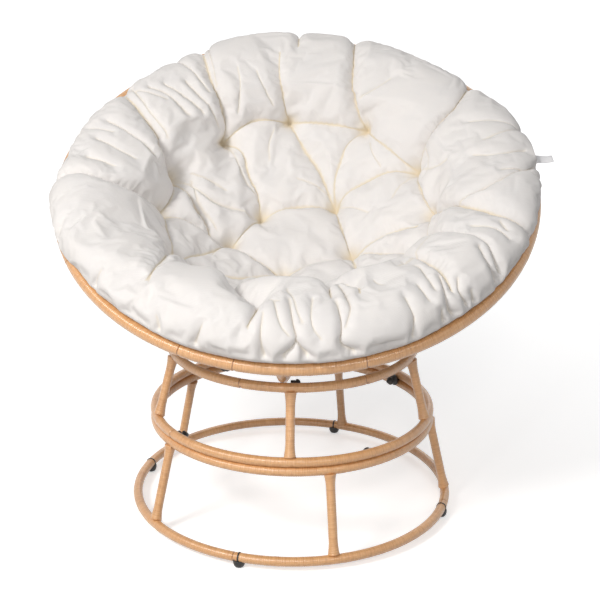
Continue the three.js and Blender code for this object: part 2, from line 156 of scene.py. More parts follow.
def maths(tree, operation, *values):
    return addNode(tree, "ShaderNodeMath", dict(enumerate(values)), operation=operation).outputs[0]


# A value carried from the range between start and end to the one between first and last
def carry(tree, value, first, last, start=0.0, end=1.0):
    inputs = {"Value": value, "From Min": start, "From Max": end, "To Min": first, "To Max": last}
    return addNode(tree, "ShaderNodeMapRange", inputs).outputs["Result"]


def mixColours(tree, share, first, second):
    return addNode(tree, "ShaderNodeMix", {0: share, 6: first, 7: second}, data_type="RGBA").outputs[2]


def colourRamp(tree, value, places, colours):
    ramp = addNode(tree, "ShaderNodeValToRGB", {"Fac": value})
    elements = ramp.color_ramp.elements
    while len(elements) < len(places):
        elements.new(0.5)
    for element, place, colour in zip(elements, places, colours):
        element.position = place
        element.color = (*colour, 1)
    return ramp.outputs["Color"]


def bumps(tree, height, strength, distance, under=None):
    bump = addNode(tree, "ShaderNodeBump", {"Height": height, "Strength": strength, "Distance": distance})
    if under is not None:
        tree.links.new(under, bump.inputs["Normal"])
    return bump.outputs["Normal"]


# Wicker: flat honey strip, each turn a little different, with fine grain along the strip, and painted shade
# that darkens it in the grooves between turns and at the open seams
wickerLook = {
    "dark": (0.58, 0.28, 0.105),
    "middle": (0.72, 0.385, 0.160),
    "light": (0.80, 0.465, 0.215),
    # painted shade: the dark colour laid into the grooves, the deeper the darker
    "groove": (0.36, 0.160, 0.065),
    "tonePlaces": (0.32, 0.5, 0.68),
    "turnScale": (200.0, 1.6, 1),  # along the tube and round it
    "turnNoise": (1.0, 3.0, 0.6),  # scale, detail and roughness
    "grainScale": (900.0, 5, 1),
    "grainNoise": (1.0, 4.0, 0.7),
    "patchNoise": (9.0, 2.0),
    "turnShare": 0.62,
    "grainShare": 0.22,
    "patchShare": 0.16,
    "smoothest": 0.23,
    "roughest": 0.40,
    "coat": 0.9,
    "coatRoughness": 0.22,
    "bump": 0.22,
    "bumpDistance": 0.0004,
}


def makeWicker(look):
    material, tree, shader = startMaterial("wicker")
    strip = addNode(tree, "ShaderNodeUVMap", uv_map="strip").outputs["UV"]
    turnTone = noise(tree, stretch(tree, strip, look["turnScale"]), *look["turnNoise"])
    grain = noise(tree, stretch(tree, strip, look["grainScale"]), *look["grainNoise"])
    patches = noise(tree, objectPlace(tree), *look["patchNoise"])
    mixed = maths(tree, "MULTIPLY", turnTone, look["turnShare"])
    mixed = maths(tree, "MULTIPLY_ADD", grain, look["grainShare"], mixed)
    mixed = maths(tree, "MULTIPLY_ADD", patches, look["patchShare"], mixed)
    tone = colourRamp(tree, mixed, look["tonePlaces"], (look["dark"], look["middle"], look["light"]))
    setInputs(tree, shader, {
        # painted shade in the grooves, darker where they are deeper
        "Base Color": mixColours(tree, meshValue(tree, "groove"), tone, (*look["groove"], 1)),
        "Roughness": carry(tree, grain, look["smoothest"], look["roughest"]),
        "Normal": bumps(tree, grain, look["bump"], look["bumpDistance"]),
        "Coat Weight": look["coat"],
        "Coat Roughness": look["coatRoughness"],
    })
    return material


# Black fittings: moulded plastic with a fine matt texture
blackLook = {
    "colour": (0.012, 0.012, 0.013),
    "worn": (0.035, 0.034, 0.033),
    "tonePlaces": (0.4, 0.72),
    "speckNoise": (260.0, 4.0),
    "smoothest": 0.30,
    "roughest": 0.52,
    "bump": 0.2,
    "bumpDistance": 0.0003,
}


def makeBlack(look):
    material, tree, shader = startMaterial("blackMoulding")
    specks = noise(tree, objectPlace(tree), *look["speckNoise"])
    setInputs(tree, shader, {
        "Base Color": colourRamp(tree, specks, look["tonePlaces"], (look["colour"], look["worn"])),
        "Roughness": carry(tree, specks, look["smoothest"], look["roughest"]),
        "Normal": bumps(tree, specks, look["bump"], look["bumpDistance"]),
    })
    return material


# Cotton: off white plain weave, with painted shade, warmer and darker, along the seams and folds and round
# the tufts
cottonLook = {
    "cool": (0.84, 0.82, 0.81),
    "cloth": (0.865, 0.84, 0.822),
    "tonePlaces": (0.35, 0.65),
    "cloudNoise": (14.0, 5.0, 0.6),
    # painted shade: a warm darker colour along seams and folds and round the tufts; foldShare is how much of
    # it is laid on
    "foldShade": (0.77, 0.655, 0.44),
    "foldShare": 0.7,
    "crumpleNoise": (12.0, 4.0, 0.55, 0.8),  # scale, detail, roughness and distortion
    "crumple": 0.09,
    "crumpleDistance": 0.004,
    "weaveScale": 900.0,
    "weaveUneven": 0.6,
    "weaveDetail": 1.0,
    "slubNoise": (420.0, 3.0),
    "slubShare": 1.4,
    "bump": 0.16,
    "bumpDistance": 0.0006,
    "sheen": 0.12,
    "sheenRoughness": 0.5,
    "roughness": 0.92,
    "specular": 0.25,
}


def makeCotton(look):
    material, tree, shader = startMaterial("cotton")
    place = objectPlace(tree)
    cloud = noise(tree, place, *look["cloudNoise"])
    tone = colourRamp(tree, cloud, look["tonePlaces"], (look["cool"], look["cloth"]))
    # painted shade, from the mesh's value along seams, folds and tufts
    foldShadeShare = maths(tree, "MULTIPLY", meshValue(tree, "foldShade"), look["foldShare"])
    wave = {"Vector": place, "Scale": look["weaveScale"] / math.tau,
            "Distortion": look["weaveUneven"], "Detail": look["weaveDetail"]}
    threads = [addNode(tree, "ShaderNodeTexWave", wave, bands_direction=axis).outputs["Fac"]
               for axis in ("X", "Y", "Z")]
    weave = maths(tree, "ADD", maths(tree, "ADD", threads[0], threads[1]), threads[2])
    slub = noise(tree, place, *look["slubNoise"])
    cloth = maths(tree, "MULTIPLY_ADD", slub, look["slubShare"], weave)
    crumple = noise(tree, place, *look["crumpleNoise"])
    soft = bumps(tree, crumple, look["crumple"], look["crumpleDistance"])
    setInputs(tree, shader, {
        "Base Color": mixColours(tree, foldShadeShare, tone, (*look["foldShade"], 1)),
        "Normal": bumps(tree, cloth, look["bump"], look["bumpDistance"], soft),
        "Roughness": look["roughness"],
        "Sheen Weight": look["sheen"],
        "Sheen Roughness": look["sheenRoughness"],
        "Specular IOR Level": look["specular"],
    })
    return material


wicker = makeWicker(wickerLook)
blackMoulding = makeBlack(blackLook)
cotton = makeCotton(cottonLook)
print("materials made")

# Tubes wound with a flat strip
wrap = {
    "pitch": 0.0046,  # width of one turn of the strip
    "sides": 16,
    "shares": (0.0, 0.13, 0.5, 0.87),  # rows of one turn: its edge, shoulder, crown, shoulder
    "relief": (-0.00034, -0.00003, 0.00012, -0.00003),
    "bandTurns": 4,
    "bandPitch": 0.0027,
    "bandRise": 0.0002,
    "seamPitch": 0.0018,
    "seamDepth": 0.0013,
    "shadeFrom": 0.0001,  # depth at which the painted shade in a groove starts, and the depth over which it deepens
    "shadeDepth": 0.0012,
    "inside": 0.006,  # a depth that is well inside every tube
}


# Edges of the turns along a tube, with the rise of each: bands of narrow raised turns and single open seams
def layTurns(length, bands, seams):
    marks = sorted([(at, "band") for at in bands] + [(at, "seam") for at in seams])
    edges, rises = [0.0], []

    def fill(until):
        span = until - edges[-1]
        count = max(1, round(span / wrap["pitch"]))
        for _ in range(count):
            edges.append(edges[-1] + span / count)
            rises.append(0.0)

    for at, kind in marks:
        fill(at)
        if kind == "band":
            for _ in range(wrap["bandTurns"]):
                edges.append(edges[-1] + wrap["bandPitch"])
                rises.append(wrap["bandRise"])
        else:
            edges.append(edges[-1] + wrap["seamPitch"])
            rises.append(-wrap["seamDepth"])
    fill(length)
    return np.array(edges), np.array(rises)


# Mesh of a strip wound round a tube: the rows follow the winding, so each groove is a clean edge.
# The shape function gives the points at lengths along the tube, angles round it and lifts off it.
def windTube(node, length, shape, closed, body, bands=(), seams=(), sides=wrap["sides"]):
    edges, rises = layTurns(length, bands, seams)
    turnCount = len(rises)
    perTurn = len(wrap["shares"])
    shares = np.array(wrap["shares"])
    relief = np.array(wrap["relief"])
    rowCount = turnCount * perTurn if closed else (turnCount - 1) * perTurn + 1
    row = np.arange(rowCount)[:, None]
    side = np.arange(sides)[None, :]
    wound = (row // perTurn) + shares[row % perTurn] + side / sides
    if closed:
        wound = wound % turnCount
    along = np.interp(wound, np.arange(turnCount + 1), edges)
    lift = relief[row % perTurn] + rises[(row // perTurn) % turnCount] + 0 * side
    around = 2 * math.pi * side / sides + 0 * row
    points = shape(along.ravel(), around.ravel(), lift.ravel())

    rows = np.arange(rowCount if closed else rowCount - 1)
    i, j = [g.ravel() for g in np.meshgrid(rows, np.arange(sides), indexing="ij")]
    last = j == sides - 1

    # The last side of a row meets the first side of the row one turn on
    def index(rowPlace, sidePlace, wrapped):
        rowPlace = rowPlace + wrapped * perTurn
        if closed:
            rowPlace = rowPlace % rowCount
        return rowPlace * sides + np.where(wrapped, 0, sidePlace)

    none = np.zeros(len(i), bool)
    quads = np.stack([index(i, j, none), index(i + 1, j, none),
                      index(i + 1, j + 1, last), index(i, j + 1, last)], 1)
    keep = np.ones(len(i), bool) if closed else ~(last & (i + 1 + perTurn > rowCount - 1))
    quads, i, j = quads[keep], i[keep], j[keep]
    turnOf = i // perTurn
    here = turnOf + shares[i % perTurn]
    there = turnOf + np.append(shares, 1.0)[i % perTurn + 1]
    uAcross = np.stack([here + j / sides, there + j / sides,
                        there + (j + 1) / sides, here + (j + 1) / sides], 1)
    uAlong = np.interp(uAcross, np.arange(turnCount + 2), np.append(edges, edges[-1] + wrap["pitch"]))
    vAround = np.stack([j, j, j + 1, j + 1], 1) / sides

    faces = quads.tolist()
    ends = []
    if not closed:
        final = rowCount - 1
        startLoop = list(range(sides)) + [r * sides for r in range(perTurn, 0, -1)]
        endLoop = [final * sides + s for s in range(sides)]
        endLoop += [r * sides + sides - 1 for r in range(final - 1, final - perTurn - 1, -1)]
        ends = [startLoop, endLoop[::-1]]
    a, b, c = points[quads[0][0]], points[quads[0][1]], points[quads[0][3]]
    outward = a - shape(along.ravel()[:1], around.ravel()[:1], np.array([-wrap["inside"]]))[0]
    if np.dot(np.cross(b - a, c - a), outward) < 0:
        faces = [f[::-1] for f in faces]
        uAlong, vAround = uAlong[:, ::-1], vAround[:, ::-1]
        ends = [f[::-1] for f in ends]
    piece = newPiece(node + "_wrap", points, faces + ends, wicker)
    mesh = piece.data
    maps = np.zeros((len(mesh.loops), 2))
    maps[:len(faces) * 4, 0] = uAlong.ravel()
    maps[:len(faces) * 4, 1] = vAround.ravel()
    mesh.uv_layers.new(name="strip").data.foreach_set("uv", maps.ravel())
    # painted shade: each point darkened by how deep it lies in a groove
    deep = np.clip((-lift.ravel() - wrap["shadeFrom"]) / wrap["shadeDepth"], 0, 1)
    mesh.attributes.new("groove", "FLOAT", "POINT").data.foreach_set("value", deep)
    enterPiece(piece, body, node)


# A ring, with the angles of its bands and of its open seams
def windRing(node, radius, tube, height, place, body, bands=(), seams=(), sides=wrap["sides"]):
    def shape(along, around, lift):
        angle = along / radius
        reach = radius + (tube + lift) * np.cos(around)
        points = np.stack([reach * np.cos(angle), reach * np.sin(angle),
                           height + (tube + lift) * np.sin(around)], 1)
        return inPlace(points, place)

    def distances(angles):
        return [math.radians(a % 360) * radius for a in angles]
    windTube(node, 2 * math.pi * radius, shape, True, body, distances(bands), distances(seams), sides)


# Rings of the base as (radius, height), the strut that each meets, and its bands and open seams.
# The strip is begun or ended at those, and it is also bound tighter on both sides of each strut.
bottomRing = (chair["bottomRing"], chair["bottomHeight"])
lowerWaist = (chair["waistRing"], chair["lowerWaistHeight"])
upperWaist = (chair["waistRing"], chair["upperWaistHeight"])
topRing = (chair["topRing"], chair["topHeight"])
baseRings = {
    "bottom_ring": (bottomRing, "lowerStrutAngle", [266.8], [252.9, 348.0]),
    "lower_waist_ring": (lowerWaist, "lowerStrutAngle", [], [213.0]),
    "upper_waist_ring": (upperWaist, "upperStrutAngle", [], [217.1]),
    "top_ring": (topRing, "upperStrutAngle", [], [249.1, 306.0]),
}
# Degrees from a strut's middle to the bands beside it, and the turn that a band takes
binding = {"beside": 3.0, "besideTop": 3.6, "bandAngle": 0.6}
for node, (ring, firstStrut, bands, seams) in baseRings.items():
    beside = binding["besideTop"] if ring is topRing else binding["beside"]
    for middle in spread(chair[firstStrut], chair["struts"]):
        bands = bands + [middle - beside - binding["bandAngle"], middle + beside]
    windRing(node, ring[0], chair["frameTube"], ring[1], basePlace, "base", bands, seams)
print("base rings wound")

# Rim of the bowl, with the angles of its bands and open seams
rim = {
    "sides": 18,
    "bands": [22.0, 67.0, 112.0, 157.0, 199.0, 253.0, 256.4, 264.8, 268.4, 274.6, 278.2, 284.2, 337.0],
    "seams": [207.8, 246.4, 259.0, 287.6, 47.0],
}
windRing("bowl_rim", chair["rimRadius"], chair["rimTube"], -rimDrop, bowlPlace, "bowl", rim["bands"],
         rim["seams"], rim["sides"])

# Hoops inside the bowl: a wide one that the cushion rests on and a small one at the bottom
hoops = {
    "sides": 14,
    "seat": 0.336,
    "seatTube": 0.008,
    "seatBands": [20.0, 110.0, 200.0, 290.0],
    "centre": 0.095,
    "centreBands": [150.0],
}
seatPath = bowlRadius - chair["ribTube"] - hoops["seatTube"] - chair["gap"]
windRing("seat_hoop", hoops["seat"], hoops["seatTube"], -math.sqrt(seatPath ** 2 - hoops["seat"] ** 2),
         bowlPlace, "bowl", hoops["seatBands"], sides=hoops["sides"])
windRing("centre_hoop", hoops["centre"], chair["ribTube"], -math.sqrt(bowlRadius ** 2 - hoops["centre"] ** 2),
         bowlPlace, "bowl", hoops["centreBands"], sides=hoops["sides"])

# Struts flare into the rings at both ends
strut = {"tube": 0.0095, "flare": 0.0030, "flareLength": 0.032, "mostFlare": 1.2, "sunk": 0.0030}


def windStrut(node, angle, lowRing, highRing):
    start = basePlace @ onCircle(lowRing[0], angle, lowRing[1])
    end = basePlace @ onCircle(highRing[0], angle, highRing[1])
    direction = (end - start).normalized()
    first = direction.cross(Vector((0, 0, 1))).normalized()
    second = direction.cross(first)
    inset = chair["frameTube"] - strut["sunk"]
    length = (end - start).length - 2 * inset
    vectors = (start + direction * inset, first, second, direction)
    origin, axisOne, axisTwo, lead = (np.array(v) for v in vectors)

    def shape(along, around, lift):
        toEnd = np.minimum(along, length - along) - strut["sunk"]
        flare = strut["flare"] * np.clip(1 - toEnd / strut["flareLength"], 0, strut["mostFlare"]) ** 2
        reach = (strut["tube"] + flare + lift)[:, None]
        return (origin + lead * along[:, None]
                + reach * (axisOne * np.cos(around)[:, None] + axisTwo * np.sin(around)[:, None]))
    windTube(node, length, shape, False, "base")


strutAngles = zip(spread(chair["lowerStrutAngle"], chair["struts"]),
                  spread(chair["upperStrutAngle"], chair["struts"]))
for number, (lower, upper) in enumerate(strutAngles, 1):
    windStrut(f"lower_strut_{number}", lower, bottomRing, lowerWaist)
    windStrut(f"upper_strut_{number}", upper, upperWaist, topRing)

# Ribs run from the rim to the small hoop on the bowl's sphere, broad where they meet the rim
rib = {
    "count": 8,
    "angle": 269.0,
    "flareWidth": 0.0065,
    "flareLength": 0.036,
    "sunk": 0.0030,
    "bands": [0.07],  # distance of its band of raised turns from the rim
}


def windRib(node, angle):
    turn = math.radians(angle)
    rimPolar = math.asin(chair["rimRadius"] / bowlRadius) - (chair["rimTube"] - rib["sunk"]) / bowlRadius
    hoopPolar = math.asin(hoops["centre"] / bowlRadius) + (chair["ribTube"] - rib["sunk"]) / bowlRadius
    across = np.array([-math.sin(turn), math.cos(turn), 0])

    def shape(along, around, lift):
        polar = rimPolar - along / bowlRadius
        outward = np.stack([np.sin(polar) * math.cos(turn), np.sin(polar) * math.sin(turn),
                            -np.cos(polar)], 1)
        flare = rib["flareWidth"] * np.clip(1 - along / rib["flareLength"], 0, 1)
        wide = (chair["ribTube"] + flare + lift)[:, None]
        tall = (chair["ribTube"] + lift)[:, None]
        points = (outward * bowlRadius + wide * across * np.cos(around)[:, None]
                  + tall * outward * np.sin(around)[:, None])
        return inPlace(points, bowlPlace)
    windTube(node, (rimPolar - hoopPolar) * bowlRadius, shape, False, "bowl", rib["bands"])


for number, angle in enumerate(spread(rib["angle"], rib["count"]), 1):
    windRib(f"bowl_rib_{number}", angle)
print("struts, ribs and hoops wound")

# Black fittings. Each outline is (radius, distance) pairs.
moulding = {"steps": 40, "domeSteps": 8, "sharpFrom": 50}


# A piece turned about the line from start along direction
def turnedPiece(name, outline, start, direction, node):
    steps, rows = moulding["steps"], len(outline)
    turn = Vector((0, 0, 1)).rotation_difference(direction)
    points, faces = [], []
    for s in range(steps):
        a = 2 * math.pi * s / steps
        points += [start + turn @ Vector((r * math.cos(a), r * math.sin(a), d)) for r, d in outline]
        here, there = s * rows, (s + 1) % steps * rows
        faces += [(here + k, there + k, there + k + 1, here + k + 1) for k in range(rows - 1)]
    faces.append([s * rows for s in range(steps)][::-1])
    faces.append([s * rows + rows - 1 for s in range(steps)])
    piece = newPiece(name, points, faces, blackMoulding)
    piece.data.polygons.foreach_set("use_smooth", [len(f) == 4 for f in faces])
    piece.data.set_sharp_from_angle(angle=math.radians(moulding["sharpFrom"]))
    enterPiece(piece, "base", node)


def dome(radius, start, length, rows=moulding["domeSteps"]):
    turns = [math.pi / 2 * k / moulding["domeSteps"] for k in range(rows)]
    return [(radius * math.cos(turn), start + length * math.sin(turn)) for turn in turns]


# Glides under the bottom ring, each held by a strap that is broad where it comes out of its glide
glide = {
    "count": 4,
    "angle": 75.0,
    "cup": [(0.0040, 0), (0.0066, 0.0004), (0.0088, 0.0016), (0.0106, 0.0040), (0.0118, 0.0070),
            (0.0125, 0.0105), (0.0125, 0.0150), (0.0119, 0.0165), (0.0103, 0.0170)],
    "strapSteps": 48,
    "strapWidth": 0.0032,
    "strapFoot": 0.0042,
    "strapThickness": 0.0011,
    "strapSlack": 0.0001,
    "strapBevel": 0.0004,
}


def strap(number, angle):
    steps, bevel = glide["strapSteps"], glide["strapBevel"]
    inner = chair["frameTube"] + glide["strapSlack"]
    outer = inner + glide["strapThickness"]
    ringPoint = basePlace @ onCircle(bottomRing[0], angle, bottomRing[1])
    out, along = onCircle(1.0, angle), onCircle(1.0, angle + 90)
    points, faces = [], []
    for s in range(steps):
        a = 2 * math.pi * s / steps
        half = glide["strapWidth"] / 2 + glide["strapFoot"] * max(0.0, -math.sin(a)) ** 3
        across = out * math.cos(a) + Vector((0, 0, math.sin(a)))
        section = [(inner, -half), (outer - bevel, -half), (outer, bevel - half),
                   (outer, half - bevel), (outer - bevel, half), (inner, half)]
        points += [ringPoint + across * reach + along * side for reach, side in section]
        rows = len(section)
        here, there = rows * s, rows * ((s + 1) % steps)
        faces += [(here + c, there + c, there + (c + 1) % rows, here + (c + 1) % rows) for c in range(rows)]
    piece = newPiece(f"glide_band_{number}", points, faces, blackMoulding)
    piece.data.set_sharp_from_angle(angle=math.radians(moulding["sharpFrom"]))
    enterPiece(piece, "base", f"glide_strap_{number}")


for number, angle in enumerate(spread(glide["angle"], glide["count"]), 1):
    foot = basePlace @ onCircle(chair["bottomRing"], angle)
    turnedPiece(f"glide_cup_{number}", glide["cup"], foot, Vector((0, 0, 1)), f"glide_{number}")
    strap(number, angle)

# Clamps on the inside of the waist rings: a spool's root, flange and neck, then its head and tip as domes
clamp = {
    "count": 4,
    "angle": 37.0,
    "spool": [(0.0055, 0.004), (0.0055, 0.01285), (0.0119, 0.01285), (0.0125, 0.01365), (0.0125, 0.01685),
              (0.0115, 0.01785), (0.0070, 0.01945), (0.0060, 0.02045), (0.0060, 0.02525), (0.0087, 0.02585)],
    "head": (0.0095, 0.02645, 0.0074),
    "headRows": 6,
    "tip": (0.004, 0.03385, 0.003),
}
waistMiddle = (lowerWaist[1] + upperWaist[1]) / 2
spool = clamp["spool"] + dome(*clamp["head"], clamp["headRows"]) + dome(*clamp["tip"])
for number, angle in enumerate(spread(clamp["angle"], clamp["count"]), 1):
    root = basePlace @ onCircle(chair["waistRing"], angle, waistMiddle)
    turnedPiece(f"clamp_spool_{number}", spool, root, -onCircle(1.0, angle), f"waist_clamp_{number}")

# Stop on the inside of the top ring: a leaning post that carries a round headed pin
stop = {
    "angle": 274.0,
    "lean": 15.0,
    "post": [(0.0064, 0.0070), (0.0070, 0.0085), (0.0070, 0.0102), (0.0052, 0.0136), (0.0050, 0.018)],
    "pin": [(0.0037, 0), (0.0045, 0.0008), (0.0045, 0.0084), (0.0035, 0.0098), (0.0035, 0.0104),
            (0.0062, 0.0110)],
    "pinHead": (0.0070, 0.0116, 0.0084),
    "pinBack": 0.009,  # how far the pin reaches back from the post's middle
}
lean = math.radians(stop["lean"])
root = basePlace @ onCircle(topRing[0], stop["angle"], topRing[1])
inward = -onCircle(math.cos(lean), stop["angle"]) + Vector((0, 0, math.sin(lean)))
sideways = onCircle(1.0, stop["angle"] + 90)
pinStart = root + inward * stop["post"][-1][1] - sideways * stop["pinBack"]
turnedPiece("stop_post", stop["post"], root, inward, "bowl_stop")
turnedPiece("stop_pin", stop["pin"] + dome(*stop["pinHead"]), pinStart, sideways, "bowl_stop")
print("fittings turned")

# The cushion: a round cover with twelve lobes round its edge, drawn in by tufts, seams and folds
cushion = {
    "spacing": 0.0085,  # distance between points of the top cover
    "underSpacing": 0.019,
    "linePitch": 0.0065,  # distance between points along a seam, and from a seam to the rows beside it
    "lineSide": 0.0040,
    "seatReach": 0.405,  # from the bowl's centre to the top cover between tufts
    "seatAngle": 50,
    "underReach": 0.5394,
    "underAngle": 52,
    "edgeHeight": 0.018,
    "crown": 0.089,
    "reach": 0.529,
    "rollStart": 0.400,
    "underLip": 0.012,  # stretch of the underside's edge that goes out with the lobes
    "fullAt": 0.415,
    "fullSpread": 0.065,
    "firstLobe": 17.0,
    "lobeFlat": 0.2,  # share of a lobe's turn that stays level on each side of its middle
    "tuftDepth": 0.085,  # the most that the cover is drawn in
    "tuftHeld": 0.012,  # reach of the points that a tuft holds, and of the painted shade round it
    "tuftShade": 0.016,
    "lineShare": 1.0,  # how firmly seams and folds hold the cover
    "foldShare": 0.4,
    "crease": 0.8,
    "fill": 0.75,
    "arcPoints": 24,  # points of the arc over the seat, and of a whole outline
    "outlinePoints": 600,
    "outlineCuts": 3,  # times that the corners of an outline and of a seam are cut off
    "lineCuts": 2,
    "seed": 7,
}
# Outline of the cover outside the seat, as distance from the bowl's axis and height over the rim's middle
rollOutline = [(0.345, 0.030), (0.385, 0.062), (0.428, 0.084), (0.470, 0.089), (0.503, 0.078), (0.522, 0.058),
               (0.529, 0.036)]
# Underside beside the rim: turn about its tube and distance from the tube's middle, from the inside out
besideRim = [(232, 0.044), (207, 0.0275), (149, 0.0170), (98, 0.0195), (62, 0.0255)]
underOutline = [(chair["rimRadius"] + away * math.cos(math.radians(turn)),
                 away * math.sin(math.radians(turn))) for turn, away in besideRim]
# Each lobe of the edge, from firstLobe on: height of its crown, outer reach, and fullness towards the seat
lobes = [(0.066, 0.522, 0.0), (0.056, 0.503, 0.0), (0.060, 0.506, 0.0), (0.064, 0.508, 0.0),
         (0.050, 0.500, 0.0), (0.052, 0.511, 0.002), (0.078, 0.530, -0.006), (0.090, 0.521, 0.006),
         (0.103, 0.528, 0.030), (0.103, 0.528, 0.030), (0.096, 0.520, 0.021), (0.078, 0.524, 0.009)]


# A line with its corners cut off a few times: lengths along it and points, evenly spaced
def evenLine(line, cuts, count=None):
    for _ in range(cuts):
        a, b = line[:-1], line[1:]
        cut = np.empty((2 * len(a), 2))
        cut[0::2], cut[1::2] = 0.75 * a + 0.25 * b, 0.25 * a + 0.75 * b
        line = np.vstack([line[:1], cut, line[-1:]])
    length = np.concatenate([[0], np.cumsum(np.hypot(*np.diff(line, axis=0).T))])
    count = count or max(2, int(round(length[-1] / cushion["linePitch"])) + 1)
    at = np.linspace(0, length[-1], count)
    return at, np.stack([np.interp(at, length, line[:, 0]), np.interp(at, length, line[:, 1])], 1)


# Outline of a cover from its middle: an arc over the bowl's centre, then points over the rim
def coverLine(reach, lastAngle, outline):
    angles = np.radians(np.linspace(0, lastAngle, cushion["arcPoints"]))
    arc = [(reach * math.sin(a), -reach * math.cos(a)) for a in angles]
    line = np.array(arc + [(r, h - rimDrop) for r, h in outline])
    return evenLine(line, cushion["outlineCuts"], cushion["outlinePoints"])


topLengths, topCurve = coverLine(cushion["seatReach"], cushion["seatAngle"], rollOutline)
underLengths, underCurve = coverLine(cushion["underReach"], cushion["underAngle"],
                                     underOutline + rollOutline[-1:])
edgeLength = topLengths[-1]


# Crown, reach and fullness at a turn about the bowl's axis, level along each lobe and eased between lobes
def lobeAt(turn):
    count = len(lobes)
    place = ((np.degrees(turn) - cushion["firstLobe"]) / (360 / count)) % count
    first = np.floor(place).astype(int) % count
    t = np.clip((place - np.floor(place) - cushion["lobeFlat"]) / (1 - 2 * cushion["lobeFlat"]), 0, 1)
    t = (t * t * (3 - 2 * t))[..., None]
    values = np.array(lobes)
    return values[first] * (1 - t) + values[(first + 1) % count] * t


def atLength(along, lengths, curve, lobe):
    across = np.interp(along, lengths, curve[:, 0])
    height = np.interp(along, lengths, curve[:, 1]) + rimDrop
    edge, start = cushion["edgeHeight"], cushion["rollStart"]
    rise = (lobe[..., 0] - edge) / (cushion["crown"] - edge)
    spread = (lobe[..., 1] - start) / (cushion["reach"] - start)
    if lengths is underLengths:  # the underside stays against the rim and gives way only over it
        full, start = spread, underOutline[1][0]
        edge = cushion["rollStart"] + (cushion["reach"] - cushion["rollStart"]) * full
        last = np.clip((along - lengths[-1]) / cushion["underLip"] + 1, 0, 1)
        spread = (edge - start) / (cushion["reach"] - start)
        spread = np.minimum(spread, 1) + np.maximum(spread - 1, 0) * last
    height = np.where(height > edge, edge + (height - edge) * rise, height)
    across = np.where(across > start, start + (across - start) * spread, across)
    return across, height - rimDrop


# Point of a cover and its outward direction, from the turn and the length from the middle
def onCover(turn, along, lengths, curve, up):
    lobe = lobeAt(turn)
    across, height = atLength(along, lengths, curve, lobe)
    step = 2 * lengths[-1] / cushion["outlinePoints"]
    ahead = atLength(np.minimum(along + step, lengths[-1]), lengths, curve, lobe)
    behind = atLength(np.maximum(along - step, 0), lengths, curve, lobe)
    tangent = np.stack([ahead[0] - behind[0], ahead[1] - behind[1]], -1)
    tangent /= np.linalg.norm(tangent, axis=-1, keepdims=True)
    normal = np.stack([-tangent[..., 1], tangent[..., 0]], -1) * (1 if up else -1)
    c, s = np.cos(turn), np.sin(turn)
    place = np.stack([across * c, across * s, height], -1)
    outward = np.stack([normal[..., 0] * c, normal[..., 0] * s, normal[..., 1]], -1)
    if up:
        full = lobe[..., 2] * np.exp(-((along - cushion["fullAt"]) / cushion["fullSpread"]) ** 2)
        place = place + outward * full[..., None]
    return place, outward


# Tufts as (turn, length from the middle, depth), twelve outer ones and then five inner ones
tufts = [(4, 0.300, 0.066), (31, 0.309, 0.070), (63, 0.325, 0.072), (96, 0.319, 0.074),
         (126, 0.307, 0.076), (158, 0.315, 0.080), (181, 0.308, 0.056), (212, 0.310, 0.044),
         (245, 0.310, 0.056), (278, 0.310, 0.062), (309, 0.308, 0.066), (337, 0.305, 0.062),
         (59, 0.142, 0.066), (131, 0.124, 0.066), (180, 0.140, 0.070), (251, 0.084, 0.046),
         (353, 0.112, 0.064)]
# Smaller pits where folds meet, most of them on the front roll
pits = [(182, 0.182, 0.048), (262, 0.472, 0.046), (285, 0.422, 0.034), (290, 0.452, 0.028),
        (230, 0.405, 0.012), (297, 0.478, 0.012), (311, 0.452, 0.012), (26, 0.350, 0.012),
        (350, 0.412, 0.012)]

